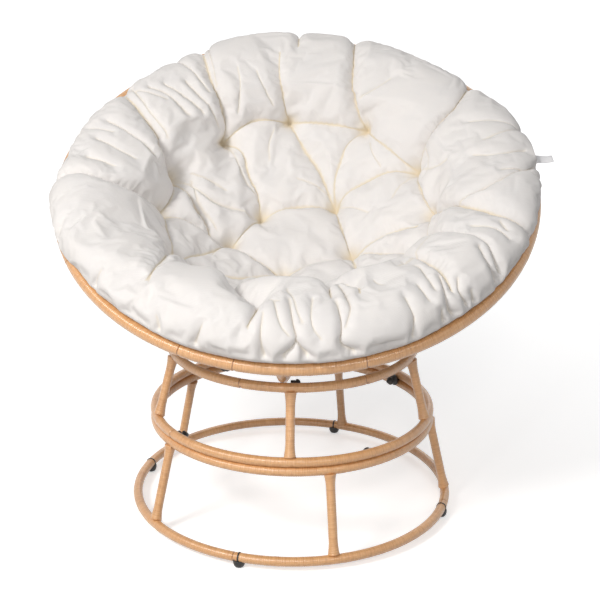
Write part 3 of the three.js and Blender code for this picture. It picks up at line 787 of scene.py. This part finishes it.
# Seams and folds as points (turn, length from the middle), then depth at the first and last point, and width.
# A bare number among the points is the place of a tuft in its list, counted from 0.
seams = [
    # seat, between the tufts
    ([4, (118, 0.326), (109, 0.333), 3], 0.030, 0.030, 1.0),
    ([3, (85, 0.318), (76, 0.319), 2], 0.026, 0.026, 1.0),
    ([2, (46, 0.314), 1], 0.012, 0.012, 0.9),
    ([3, (89, 0.255), (77, 0.204), (64, 0.152), 12], 0.027, 0.030, 0.9),
    ([2, (67, 0.285), (67, 0.236), (66, 0.190), 12], 0.013, 0.013, 0.7),
    ([12, (56, 0.171), (48, 0.217), (41, 0.264), 1], 0.024, 0.020, 1.0),
    ([1, (16, 0.299), 0], 0.030, 0.030, 0.9),
    ([16, (355, 0.162), (0, 0.210), (357, 0.273)], 0.022, 0.018, 0.9),
    ([12, (19, 0.105), 16], 0.028, 0.028, 0.9),
    ([12, (69, 0.129), (97, 0.119), (120, 0.119), 13], 0.028, 0.028, 1.0),
    ([13, (125, 0.171), (125, 0.215), (121, 0.277), 4], 0.020, 0.018, 0.8),
    ([5, (162, 0.264), (172, 0.212), (182, 0.182)], 0.032, 0.036, 0.9),
    ([13, (161, 0.122), 14], 0.026, 0.026, 0.9),
    ([14, (207, 0.104), 15], 0.028, 0.030, 0.9),
    ([15, (300, 0.060), (334, 0.090), 16], 0.028, 0.028, 0.9),
    ([5, (169, 0.298), 6], 0.034, 0.034, 0.9),
    ([6, (180, 0.250), (182, 0.182)], 0.020, 0.034, 0.9),
    ([(182, 0.182), 14], 0.050, 0.050, 0.9),
    ([7, (204, 0.220), 14], 0.012, 0.022, 1.0),
    ([7, (228, 0.200), 15], 0.020, 0.022, 0.9),
    ([8, (250, 0.200), 15], 0.028, 0.026, 1.0),
    ([9, (272, 0.190), 15], 0.026, 0.026, 1.0),
    ([10, (318, 0.190), 16], 0.026, 0.026, 1.0),
    ([11, (343, 0.200), 16], 0.026, 0.026, 1.0),
    ([6, (196, 0.318), 7], 0.012, 0.012, 1.0),
    ([7, (228, 0.322), 8], 0.018, 0.024, 1.0),
    ([8, (262, 0.326), 9], 0.036, 0.036, 1.0),
    ([9, (294, 0.322), 10], 0.034, 0.034, 1.0),
    ([10, (323, 0.318), 11], 0.032, 0.032, 1.0),
    ([11, (350, 0.312), 0], 0.028, 0.028, 1.0),
    # over the roll to the edge
    ([1, (32, 0.354), (33, 0.435), (35, 0.516), (39, 0.600), (40, 0.637)], 0.036, 0.014, 0.9),
    ([2, (69, 0.367), (73, 0.459), (76, 0.600), (76, 0.637)], 0.036, 0.016, 0.9),
    ([3, (98, 0.359), (99, 0.445), (98, 0.500)], 0.034, 0.004, 0.9),
    ([(92, 0.530), (92, 0.600), (92, 0.637)], 0.008, 0.016, 0.6),
    ([4, (123, 0.358), (123, 0.467), (120, 0.600), (119, 0.637)], 0.038, 0.016, 0.9),
    ([5, (157, 0.373), (151, 0.477), (147, 0.600), (146, 0.637)], 0.040, 0.014, 0.9),
    ([6, (185, 0.412), (185, 0.499), (183, 0.579), (185, 0.637)], 0.044, 0.012, 0.9),
    ([7, (218, 0.380), (226, 0.440), (230, 0.490), (233, 0.545)], 0.024, 0.006, 0.7),
    ([8, (249, 0.400), (256, 0.445), (262, 0.482)], 0.054, 0.052, 1.25),
    ([(262, 0.482), (263, 0.530), (262, 0.578)], 0.034, 0.008, 0.7),
    ([9, (281, 0.400), (283, 0.434), (282, 0.491)], 0.044, 0.012, 0.9),
    ([(283, 0.434), (287, 0.425), (290, 0.450), (291, 0.470), (290, 0.500)], 0.034, 0.008, 0.6),
    ([10, (314, 0.400), (315, 0.441), (314, 0.477), (313, 0.521), (311, 0.585)], 0.036, 0.014, 0.7),
    ([0, (353, 0.370), (350, 0.411), (346, 0.460), (344, 0.497), (342, 0.542), (341, 0.637)],
     0.030, 0.020, 0.9),
    ([11, (332, 0.400), (330, 0.485)], 0.030, 0.012, 0.9),
]
folds = [
    # back lobes, from the right round to the left
    ([(24, 0.500), (21, 0.556), (18, 0.632)], 0.004, 0.010, 0.42),
    ([(15, 0.510), (18, 0.632)], 0.004, 0.012, 0.42),
    ([(10, 0.470), (7, 0.521), (9, 0.590)], 0.004, 0.009, 0.42),
    ([(350, 0.415), (351, 0.456), (355, 0.511), (0, 0.570), (5, 0.632)], 0.014, 0.014, 0.5),
    ([(0, 0.527), (1, 0.590), (0, 0.632)], 0.006, 0.014, 0.45),
    ([(29, 0.364), (24, 0.355), (20, 0.336)], 0.008, 0.004, 0.4),
    ([(26, 0.324), (18, 0.360), (15, 0.400)], 0.010, 0.003, 0.4),
    ([(71.5, 0.420), (74.5, 0.520), (77.5, 0.600), (78, 0.632)], 0.010, 0.012, 0.35),
    ([(66, 0.395), (61, 0.440), (59, 0.470)], 0.008, 0.002, 0.4),
    ([(103, 0.360), (106, 0.410), (107, 0.450)], 0.007, 0.002, 0.4),
    ([(118, 0.360), (114, 0.430), (113, 0.470)], 0.008, 0.002, 0.4),
    ([(122, 0.450), (118, 0.600), (116.5, 0.632)], 0.010, 0.012, 0.35),
    ([(128, 0.621), (127, 0.537), (126, 0.440)], 0.007, 0.008, 0.4),
    ([(131, 0.500), (130, 0.428), (128, 0.350)], 0.008, 0.010, 0.4),
    ([(137, 0.530), (135, 0.462), (133, 0.390)], 0.007, 0.008, 0.4),
    ([(141, 0.550), (139, 0.491), (139, 0.410)], 0.007, 0.008, 0.4),
    ([(145, 0.600), (143, 0.531), (141, 0.480)], 0.007, 0.004, 0.4),
    ([(152, 0.395), (148.5, 0.490), (144, 0.600)], 0.010, 0.012, 0.35),
    ([(160, 0.550), (162, 0.459), (164, 0.400)], 0.007, 0.009, 0.4),
    ([(164, 0.590), (164, 0.522)], 0.006, 0.004, 0.4),
    ([(168, 0.550), (170, 0.484), (171, 0.440)], 0.007, 0.006, 0.4),
    ([(176, 0.550), (178, 0.480)], 0.008, 0.004, 0.4),
    # seat, fanning out from the tufts
    ([(128, 0.158), (129, 0.227), (126, 0.285)], 0.012, 0.012, 0.4),
    ([(157, 0.290), (158, 0.218), (148, 0.157)], 0.018, 0.014, 0.5),
    ([(155, 0.280), (164, 0.242), (174, 0.185)], 0.016, 0.014, 0.45),
    ([(152, 0.290), (148, 0.250), (146, 0.215)], 0.014, 0.004, 0.4),
    ([(204, 0.205), (190, 0.165), (180, 0.145)], 0.010, 0.018, 0.5),
    ([(140, 0.130), (147, 0.150), (150, 0.170)], 0.010, 0.002, 0.36),
    ([(104, 0.300), (108, 0.270), (109, 0.240)], 0.008, 0.002, 0.4),
    ([(56, 0.300), (50, 0.280), (44, 0.270)], 0.007, 0.002, 0.4),
    ([(30, 0.295), (27, 0.265), (22, 0.240)], 0.008, 0.002, 0.4),
    ([(65, 0.160), (80, 0.172), (92, 0.180)], 0.006, 0.002, 0.4),
    ([(50, 0.148), (36, 0.160), (24, 0.175)], 0.006, 0.002, 0.4),
    # right and front right lobes
    ([(334, 0.494), (335, 0.529), (335, 0.552), (334, 0.581)], 0.004, 0.010, 0.4),
    ([(338, 0.547), (336, 0.568)], 0.006, 0.006, 0.35),
    ([(330, 0.485), (329, 0.521), (328, 0.554), (326, 0.583), (325, 0.614)], 0.010, 0.014, 0.42),
    ([(325, 0.547), (323, 0.583), (323, 0.632)], 0.006, 0.016, 0.45),
    ([(309, 0.440), (310, 0.482), (308, 0.520), (307, 0.564)], 0.008, 0.006, 0.42),
    ([(311, 0.539), (309, 0.576), (308, 0.613), (309, 0.634)], 0.010, 0.016, 0.42),
    ([(314, 0.571), (312, 0.596), (313, 0.630)], 0.008, 0.012, 0.4),
    ([(315, 0.610), (315, 0.634)], 0.006, 0.010, 0.35),
    ([(304, 0.541), (304, 0.580)], 0.006, 0.004, 0.4),
    ([(306, 0.610), (306, 0.634)], 0.004, 0.010, 0.35),
    ([(331, 0.420), (318, 0.432), (306, 0.456)], 0.006, 0.004, 0.4),
    # front lobes
    ([(266, 0.499), (268, 0.510)], 0.008, 0.004, 0.35),
    ([(270, 0.470), (272, 0.492), (273, 0.538), (274, 0.562)], 0.006, 0.006, 0.42),
    ([(271, 0.500), (272, 0.566), (273, 0.607), (270, 0.634)], 0.008, 0.018, 0.42),
    ([(273, 0.607), (275, 0.634)], 0.016, 0.018, 0.4),
    ([(267, 0.510), (269, 0.572), (271, 0.592)], 0.005, 0.004, 0.42),
    ([(265, 0.550), (265, 0.601), (266, 0.634)], 0.006, 0.014, 0.42),
    ([(277, 0.500), (276, 0.573), (278, 0.600)], 0.007, 0.004, 0.45),
    ([(286, 0.454), (286, 0.510), (286, 0.543), (284, 0.581)], 0.018, 0.006, 0.45),
    ([(283, 0.520), (283, 0.583), (282, 0.614), (285, 0.634)], 0.010, 0.016, 0.42),
    ([(296, 0.470), (297, 0.496)], 0.010, 0.006, 0.35),
    ([(299, 0.560), (299, 0.605)], 0.006, 0.004, 0.42),
    ([(299, 0.595), (298, 0.634)], 0.006, 0.010, 0.4),
    # big left lobe and the front left
    ([(230, 0.420), (231, 0.500), (234, 0.548)], 0.010, 0.006, 0.42),
    ([(241, 0.610), (242, 0.634)], 0.004, 0.010, 0.35),
    ([(252, 0.600), (251, 0.634)], 0.004, 0.012, 0.4),
    ([(222, 0.600), (222, 0.634)], 0.004, 0.010, 0.4),
    ([(203, 0.605), (204, 0.634)], 0.004, 0.009, 0.4),
]


# Line through the points of a seam, laid flat: x and y are the length from the middle, turned
def flatLine(points):
    points = [tufts[p] if isinstance(p, int) else p for p in points]
    turns = np.radians([p[0] for p in points])
    lengths = np.array([p[1] for p in points])
    line = np.stack([lengths * np.cos(turns), lengths * np.sin(turns)], 1)
    return evenLine(line, cushion["lineCuts"] if len(line) > 2 else 0)[1]


def flatPoint(turn, length):
    return np.array([length * math.cos(math.radians(turn)), length * math.sin(math.radians(turn))])


lines = [(flatLine(points), *rest, cushion["lineShare"]) for points, *rest in seams]
lines += [(flatLine(points), *rest, cushion["foldShare"]) for points, *rest in folds]

# How the cover is drawn in round each kind of place: share and reach of the sharp part, then of the soft part
pull = {
    "line": (0.42, 0.0075, 0.58, 0.060),
    "tuft": (0.52, 0.017, 0.48, 0.046),
    "pit": (0.5, 0.012, 0.5, 0.028),
    "lineMost": 0.07,  # points further from a line than this are left out
}


# How far the cover is drawn in at each flat point: deep and sharp at a line, arched between lines
def drawnIn(flat):
    total = np.zeros(len(flat))
    sharpShare, sharp, softShare, soft = pull["line"]
    for line, first, last, width, _ in lines:
        middle = line.mean(0)
        reach = np.linalg.norm(line - middle, axis=1).max() + pull["lineMost"] * width
        near = np.nonzero(np.linalg.norm(flat - middle, axis=1) < reach)[0]
        if not len(near):
            continue
        start, step = line[:-1], np.diff(line, axis=0)
        toPoint = flat[near, None, :] - start[None]
        share = np.clip((toPoint * step).sum(2) / (step ** 2).sum(1), 0, 1)
        away = np.linalg.norm(toPoint - share[..., None] * step, axis=2)
        nearest = away.argmin(1)
        rows = np.arange(len(near))
        d = away[rows, nearest] / width
        full = first + (last - first) * ((nearest + share[rows, nearest]) / len(step))
        fall = full * (sharpShare * np.exp(-d / sharp) + softShare * np.clip(1 - d / soft, 0, 1) ** 2)
        total[near] += fall ** 3
    for places, kind in ((tufts, "tuft"), (pits, "pit")):
        sharpShare, sharp, softShare, soft = pull[kind]
        for turn, length, deep in places:
            d = np.linalg.norm(flat - flatPoint(turn, length), axis=1)
            total += (deep * (sharpShare * np.exp(-d / sharp) + softShare * np.exp(-(d / soft) ** 2))) ** 3
    return np.minimum(total ** (1 / 3), cushion["tuftDepth"])


# The net of the cover: how near its points may come to each other, as shares of their spacing
net = {
    "joinShare": 0.55,  # along the lines, beside them and between them
    "besideShare": 0.8,
    "freeShare": 0.62,
    "rowShare": 0.866,  # from one ring of free points to the next
    "edgeClear": 0.004,
    "fuse": 1e-7,
}


def pointTree(points):
    tree = KDTree(len(points))
    for i, p in enumerate(points):
        tree.insert((*p, 0), i)
    tree.balance()
    return tree


# Points along every seam and fold, with one row on each side, and the edges that keep them in line
def layLines():
    points, strength, links = [], [], []
    for line, _, _, _, weight in lines:
        before = None
        for p in line:
            here = None
            if points:
                away = np.linalg.norm(np.array(points) - p, axis=1)
                if away.min() < net["joinShare"] * cushion["linePitch"]:
                    here = int(away.argmin())
                    strength[here] = max(strength[here], weight)
            if here is None:
                here = len(points)
                points.append(p)
                strength.append(weight)
            if before is not None and before != here:
                links.append((before, here))
            before = here
    tree = pointTree(points)
    clear = net["besideShare"] * cushion["lineSide"]
    beside = []
    for line, *_ in lines:
        lead = np.gradient(line, axis=0)
        lead /= np.linalg.norm(lead, axis=1, keepdims=True)
        for side in (-1, 1):
            for p in line + side * cushion["lineSide"] * np.stack([-lead[:, 1], lead[:, 0]], 1):
                if tree.find((*p, 0))[2] < clear:
                    continue
                if beside and np.linalg.norm(np.array(beside) - p, axis=1).min() < clear:
                    continue
                beside.append(p)
    beside = [p for p in beside if np.hypot(*p) < edgeLength - net["edgeClear"]]
    return np.array(points), np.array(strength), links, np.array(beside)


# Evenly spread points over a disc, and the ring of points at its edge that both covers share
def discPoints(radius, spacing, rimCount, rng):
    points = [(0.0, 0.0)]
    rings = int(round(radius / (spacing * net["rowShare"])))
    for ring in range(1, rings):
        r = radius * ring / rings
        count = max(6, int(round(2 * math.pi * r / spacing)))
        start = rng.random() * 2 * math.pi
        turns = start + 2 * math.pi * np.arange(count) / count
        points += list(zip(r * np.cos(turns), r * np.sin(turns)))
    turns = 2 * math.pi * np.arange(rimCount) / rimCount
    edge = np.stack([radius * np.cos(turns), radius * np.sin(turns)], 1)
    return np.array(points), edge


# Flat net of the top cover: points, how firmly each is sewn, faces, sewn edges and the points of its edge
def netTop(rimCount, rng):
    inner, topEdge = discPoints(edgeLength, cushion["spacing"], rimCount, rng)
    sewn, strength, links, beside = layLines()
    drawn = np.vstack([sewn, beside])
    tree = pointTree(drawn)
    free = np.array([p for p in inner if tree.find((*p, 0))[2] > net["freeShare"] * cushion["spacing"]])
    flat = [Vector(p) for p in np.vstack([topEdge, drawn, free])]
    joined = [(a + rimCount, b + rimCount) for a, b in links]
    spots, edges, faces, oldPoints, oldEdges, _ = delaunay_2d_cdt(flat, joined, [], 0, net["fuse"])
    weight = np.zeros(len(spots))
    edgeIds = np.zeros(rimCount, int)
    for new, old in enumerate(oldPoints):
        for o in old:
            if o < rimCount:
                edgeIds[o] = new
            elif o - rimCount < len(sewn):
                weight[new] = strength[o - rimCount]
        if not old:  # where two lines cross
            weight[new] = 1.0
    sewnEdges = [tuple(sorted(pair)) for pair, old in zip(edges, oldEdges) if old]
    return np.array([tuple(v) for v in spots]), weight, [tuple(f) for f in faces], sewnEdges, edgeIds


# The closed cover, how firmly each point is held and how much painted shade each point gets, and the sewn
# edges
def makeCover():
    rng = np.random.default_rng(cushion["seed"])
    rimCount = int(2 * math.pi * topCurve[-1][0] / cushion["spacing"])
    spots, weight, faces, sewnEdges, edgeIds = netTop(rimCount, rng)
    turn, along = np.arctan2(spots[:, 1], spots[:, 0]), np.hypot(spots[:, 0], spots[:, 1])
    top, outward = onCover(turn, np.minimum(along, edgeLength), topLengths, topCurve, True)
    top = top - outward * drawnIn(spots)[:, None]

    underFlat, underEdge = discPoints(underLengths[-1], cushion["underSpacing"], rimCount, rng)
    allUnder = [Vector(p) for p in np.vstack([underFlat, underEdge])]
    _, _, underFaces, underOld, _, _ = delaunay_2d_cdt(allUnder, [], [], 0, net["fuse"])
    underTurn = np.arctan2(underFlat[:, 1], underFlat[:, 0])
    low, _ = onCover(underTurn, np.hypot(underFlat[:, 0], underFlat[:, 1]), underLengths, underCurve, False)
    number = np.concatenate([np.arange(len(underFlat)) + len(top), edgeIds])
    faces += [tuple(int(number[underOld[i][0]]) for i in f[::-1]) for f in underFaces]
    piece = newPiece("cushion_cover", inPlace(np.vstack([top, low]), bowlPlace), faces, cotton)

    # painted shade: the sewn strength of each point along seams and folds, and more round the tufts
    held, paintedShade = weight.copy(), weight
    for turn, length, _ in tufts:
        away = np.linalg.norm(spots - flatPoint(turn, length), axis=1)
        held[away < cushion["tuftHeld"]] = 1.0
        paintedShade = np.maximum(paintedShade, np.exp(-(away / cushion["tuftShade"]) ** 2))
    held = np.concatenate([held, np.ones(len(low))])
    paintedShade = np.concatenate([paintedShade, np.zeros(len(low))])
    return piece, held, paintedShade, sewnEdges


# The cover is let out and settled as cloth, each point's move kept short
settling = {
    "frames": 22,
    "mostMove": 0.018,
    "levels": 10,  # steps of the weights that hold the sewn points
    "pressure": 2.6,
    "swell": 0.055,
    "hold": 12,
    "quality": 6,
    "mass": 0.15,
    "stretch": 25,
    "shear": 8,
    "bend": 0.25,
    "damping": 12,
    "airDamping": 3,
}


def settle(piece, held):
    mesh = piece.data
    start = np.empty(len(mesh.vertices) * 3)
    mesh.vertices.foreach_get("co", start)
    group = piece.vertex_groups.new(name="sewn")
    levels = settling["levels"]
    for level in range(levels + 1):
        ids = np.nonzero(np.round(held * levels).astype(int) == level)[0]
        group.add([int(i) for i in ids], level / levels, "REPLACE")
    cloth = piece.modifiers.new("settle", "CLOTH")
    s = cloth.settings
    s.quality = settling["quality"]
    s.mass = settling["mass"]
    s.tension_stiffness = s.compression_stiffness = settling["stretch"]
    s.shear_stiffness = settling["shear"]
    s.bending_stiffness = settling["bend"]
    s.tension_damping = s.compression_damping = s.shear_damping = settling["damping"]
    s.air_damping = settling["airDamping"]
    s.use_pressure = True
    s.uniform_pressure_force = settling["pressure"]
    s.vertex_group_mass = "sewn"
    s.pin_stiffness = settling["hold"]
    s.shrink_min = -settling["swell"]
    s.effector_weights.gravity = 0
    cloth.collision_settings.use_collision = False
    cloth.point_cache.frame_end = settling["frames"] + 1
    scene = bpy.context.scene
    for number in range(1, settling["frames"] + 1):
        scene.frame_set(number)
    settled = piece.evaluated_get(bpy.context.evaluated_depsgraph_get())
    now = np.empty(len(start))
    settled.to_mesh().vertices.foreach_get("co", now)
    settled.to_mesh_clear()
    piece.modifiers.remove(cloth)
    scene.frame_set(1)
    move = (now - start).reshape(-1, 3)
    size = np.linalg.norm(move, axis=1)
    print("cushion settled: mean move %.1f mm, most %.1f mm" % (size.mean() * 1000, size.max() * 1000))
    most = settling["mostMove"]
    scale = np.where(size > 1e-9, most * np.tanh(size / most) / np.maximum(size, 1e-9), 0)
    mesh.vertices.foreach_set("co", (start.reshape(-1, 3) + move * scale[:, None]).ravel())
    mesh.update()


cover, held, paintedShade, sewnEdges = makeCover()
print("cushion cut: %d points" % len(cover.data.vertices))
settle(cover, held)
cover.vertex_groups.clear()
# painted shade kept on the cover's points for its material
cover.data.attributes.new("foldShade", "FLOAT", "POINT").data.foreach_set("value", paintedShade)
edgeNumber = {tuple(sorted(e.vertices)): e.index for e in cover.data.edges}
sharpness = np.zeros(len(cover.data.edges))
sharpness[[edgeNumber[pair] for pair in sewnEdges]] = cushion["crease"]
cover.data.attributes.new("crease_edge", "FLOAT", "EDGE").data.foreach_set("value", sharpness)
divide = cover.modifiers.new("divide", "SUBSURF")
divide.levels = divide.render_levels = 1
enterPiece(cover, "cushion", "cushion")
print("cushion made")

# Bare tag sewn into the cushion's edge
tag = {
    "start": 0.512,  # from the bowl's axis, hidden in the cover
    "length": 0.048,
    "width": 0.022,
    "thickness": 0.0008,
    "angle": 8.0,
    "height": 0.029,
    "bow": (0.003, 2.6),  # height and turn of its waves: a long bow, a shorter ripple and a twist across
    "ripple": (0.002, 7),
    "twist": (0.0016, 2, 3),
    "columns": 17,
    "rows": 7,
    "colour": (0.86, 0.86, 0.88),
    "shade": 0.94,
    "tonePlaces": (0.3, 0.7),
    "weaveNoise": (1500.0, 2.0),
    "roughness": 0.8,
    "bump": 0.2,
    "bumpDistance": 0.0002,
}


def makeTagWeave(look):
    material, tree, shader = startMaterial("tagWeave")
    weave = noise(tree, objectPlace(tree), *look["weaveNoise"])
    shaded = tuple(c * look["shade"] for c in look["colour"])
    setInputs(tree, shader, {
        "Base Color": colourRamp(tree, weave, look["tonePlaces"], (shaded, look["colour"])),
        "Normal": bumps(tree, weave, look["bump"], look["bumpDistance"]),
        "Roughness": look["roughness"],
    })
    return material


def makeTag():
    columns, rows = tag["columns"], tag["rows"]
    bow, ripple, twist = tag["bow"], tag["ripple"], tag["twist"]
    points, faces = [], []
    for i in range(columns):
        t = i / (columns - 1)
        out = tag["start"] + tag["length"] * t
        lift = tag["height"] - rimDrop + bow[0] * math.sin(bow[1] * t) + ripple[0] * math.sin(ripple[1] * t)
        for j in range(rows):
            s = j / (rows - 1) - 0.5
            points.append((out, tag["width"] * s, lift + twist[0] * math.sin(twist[2] * s + twist[1] * t)))
    for i in range(columns - 1):
        for j in range(rows - 1):
            a = i * rows + j
            faces.append((a, a + rows, a + rows + 1, a + 1))
    turned = inPlace(np.array(points), Matrix.Rotation(math.radians(tag["angle"]), 4, "Z"))
    piece = newPiece("cushion_label", inPlace(turned, bowlPlace), faces, makeTagWeave(tag))
    thick = piece.modifiers.new("thick", "SOLIDIFY")
    thick.thickness = tag["thickness"]
    thick.offset = 0
    enterPiece(piece, "cushion", "cushion_tag")


makeTag()
print("tag sewn")

# Floor and room. Seen directly they are white, and what they send on to the chair is weaker.
stage = {
    "floor": (0.93, 0.93, 0.935),
    "bounce": (0.45, 0.44, 0.43),
    "glowNear": 0.48,  # white that the floor adds where it is seen, under the chair and far away
    "glowFar": 0.90,
    "near": 0.5,
    "wide": 3.2,
    "half": 40.0,
    "room": 0.27,
    "roughness": 0.9,
    "specular": 0.1,
}


# 1 for a ray that comes straight from the camera, or by way of a shiny or clear thing
def seenShare(tree):
    path = addNode(tree, "ShaderNodeLightPath").outputs
    first = maths(tree, "MAXIMUM", path["Is Camera Ray"], path["Is Glossy Ray"])
    return maths(tree, "MAXIMUM", first, path["Is Transmission Ray"])


def makeFloor():
    size = stage["half"]
    mesh = bpy.data.meshes.new("floor")
    corners = [(-size, -size, 0), (size, -size, 0), (size, size, 0), (-size, size, 0)]
    mesh.from_pydata(corners, [], [(0, 1, 2, 3)])
    floor = bpy.data.objects.new("floor", mesh)
    bpy.context.scene.collection.objects.link(floor)
    material, tree, shader = startMaterial("paleFloor")
    seen = seenShare(tree)
    away = addNode(tree, "ShaderNodeVectorMath", {0: objectPlace(tree)}, operation="LENGTH").outputs["Value"]
    glow = carry(tree, away, stage["glowNear"], stage["glowFar"], stage["near"], stage["wide"])
    setInputs(tree, shader, {
        "Base Color": mixColours(tree, seen, (*stage["bounce"], 1), (*stage["floor"], 1)),
        "Roughness": stage["roughness"],
        "Specular IOR Level": stage["specular"],
        "Emission Color": (1, 1, 1, 1),
        "Emission Strength": maths(tree, "MULTIPLY", seen, glow),
    })
    mesh.materials.append(material)


def makeRoom():
    world = bpy.data.worlds.new("room")
    bpy.context.scene.world = world
    world.use_nodes = True
    tree = world.node_tree
    setInputs(tree, tree.nodes["Background"], {
        "Color": (1, 1, 1, 1),
        "Strength": carry(tree, seenShare(tree), stage["room"], 1.0),
    })


# Lamps as (place, aim, width, height, power, colour)
lamps = {
    "key": ((-2.1, -2.45, 2.9), (0, 0, 0.5), 1.1, 1.1, 80, (1, 0.97, 0.935)),
    "front": ((0.2, -3.6, 2.4), (0, 0, 0.4), 0.7, 0.7, 30, (1, 0.98, 0.96)),
    "strip": ((-1.5, -3.2, 1.1), (0, 0, 0.3), 0.3, 1.8, 13, (1, 0.98, 0.96)),
    "fill": ((2.8, -2.0, 2.2), (0, 0, 0.5), 2.6, 2.6, 5, (0.97, 0.98, 1)),
    "back": ((0.6, 2.8, 2.8), (0, 0, 0.6), 2.2, 2.2, 18, (1, 0.99, 0.98)),
}


def makeLamp(name, place, aim, width, height, power, colour):
    light = bpy.data.lights.new(name, "AREA")
    light.shape = "ELLIPSE"
    light.size = width
    light.size_y = height
    light.energy = power
    light.color = colour
    lamp = bpy.data.objects.new(name, light)
    lamp.location = place
    lamp.rotation_euler = (Vector(aim) - Vector(place)).to_track_quat("-Z", "Y").to_euler()
    bpy.context.scene.collection.objects.link(lamp)


# The camera was fitted to the rings in the photograph: its place is counted from the base's own axis
camera = {
    "turn": 0.0429,
    "place": (0.01457, -2.7374, 1.40665),
    "down": 0.333,
    "roll": 0.0108,
    "lens": 81.0,
    "sensor": 36.0,
    "seesTo": 200,
}


def makeCamera():
    turn = Matrix.Rotation(camera["turn"], 3, "Z")
    forward = turn @ Vector((0, math.cos(camera["down"]), -math.sin(camera["down"])))
    right = turn @ Vector((1, 0, 0))
    up = right.cross(forward)
    c, s = math.cos(camera["roll"]), math.sin(camera["roll"])
    x, y = right * c + up * s, up * c - right * s
    data = bpy.data.cameras.new("photoCamera")
    data.sensor_width = camera["sensor"]
    data.lens = camera["lens"]
    data.clip_end = camera["seesTo"]
    view = bpy.data.objects.new("photoCamera", data)
    view.matrix_world = Matrix.Translation(baseMiddle + turn @ Vector(camera["place"])) @ Matrix((
        (x.x, y.x, -forward.x), (x.y, y.y, -forward.y), (x.z, y.z, -forward.z))).to_4x4()
    bpy.context.scene.collection.objects.link(view)
    bpy.context.scene.camera = view


makeFloor()
makeRoom()
for name, look in lamps.items():
    makeLamp(name, *look)
makeCamera()
bpy.context.scene.view_settings.view_transform = "Standard"
print("stage set")
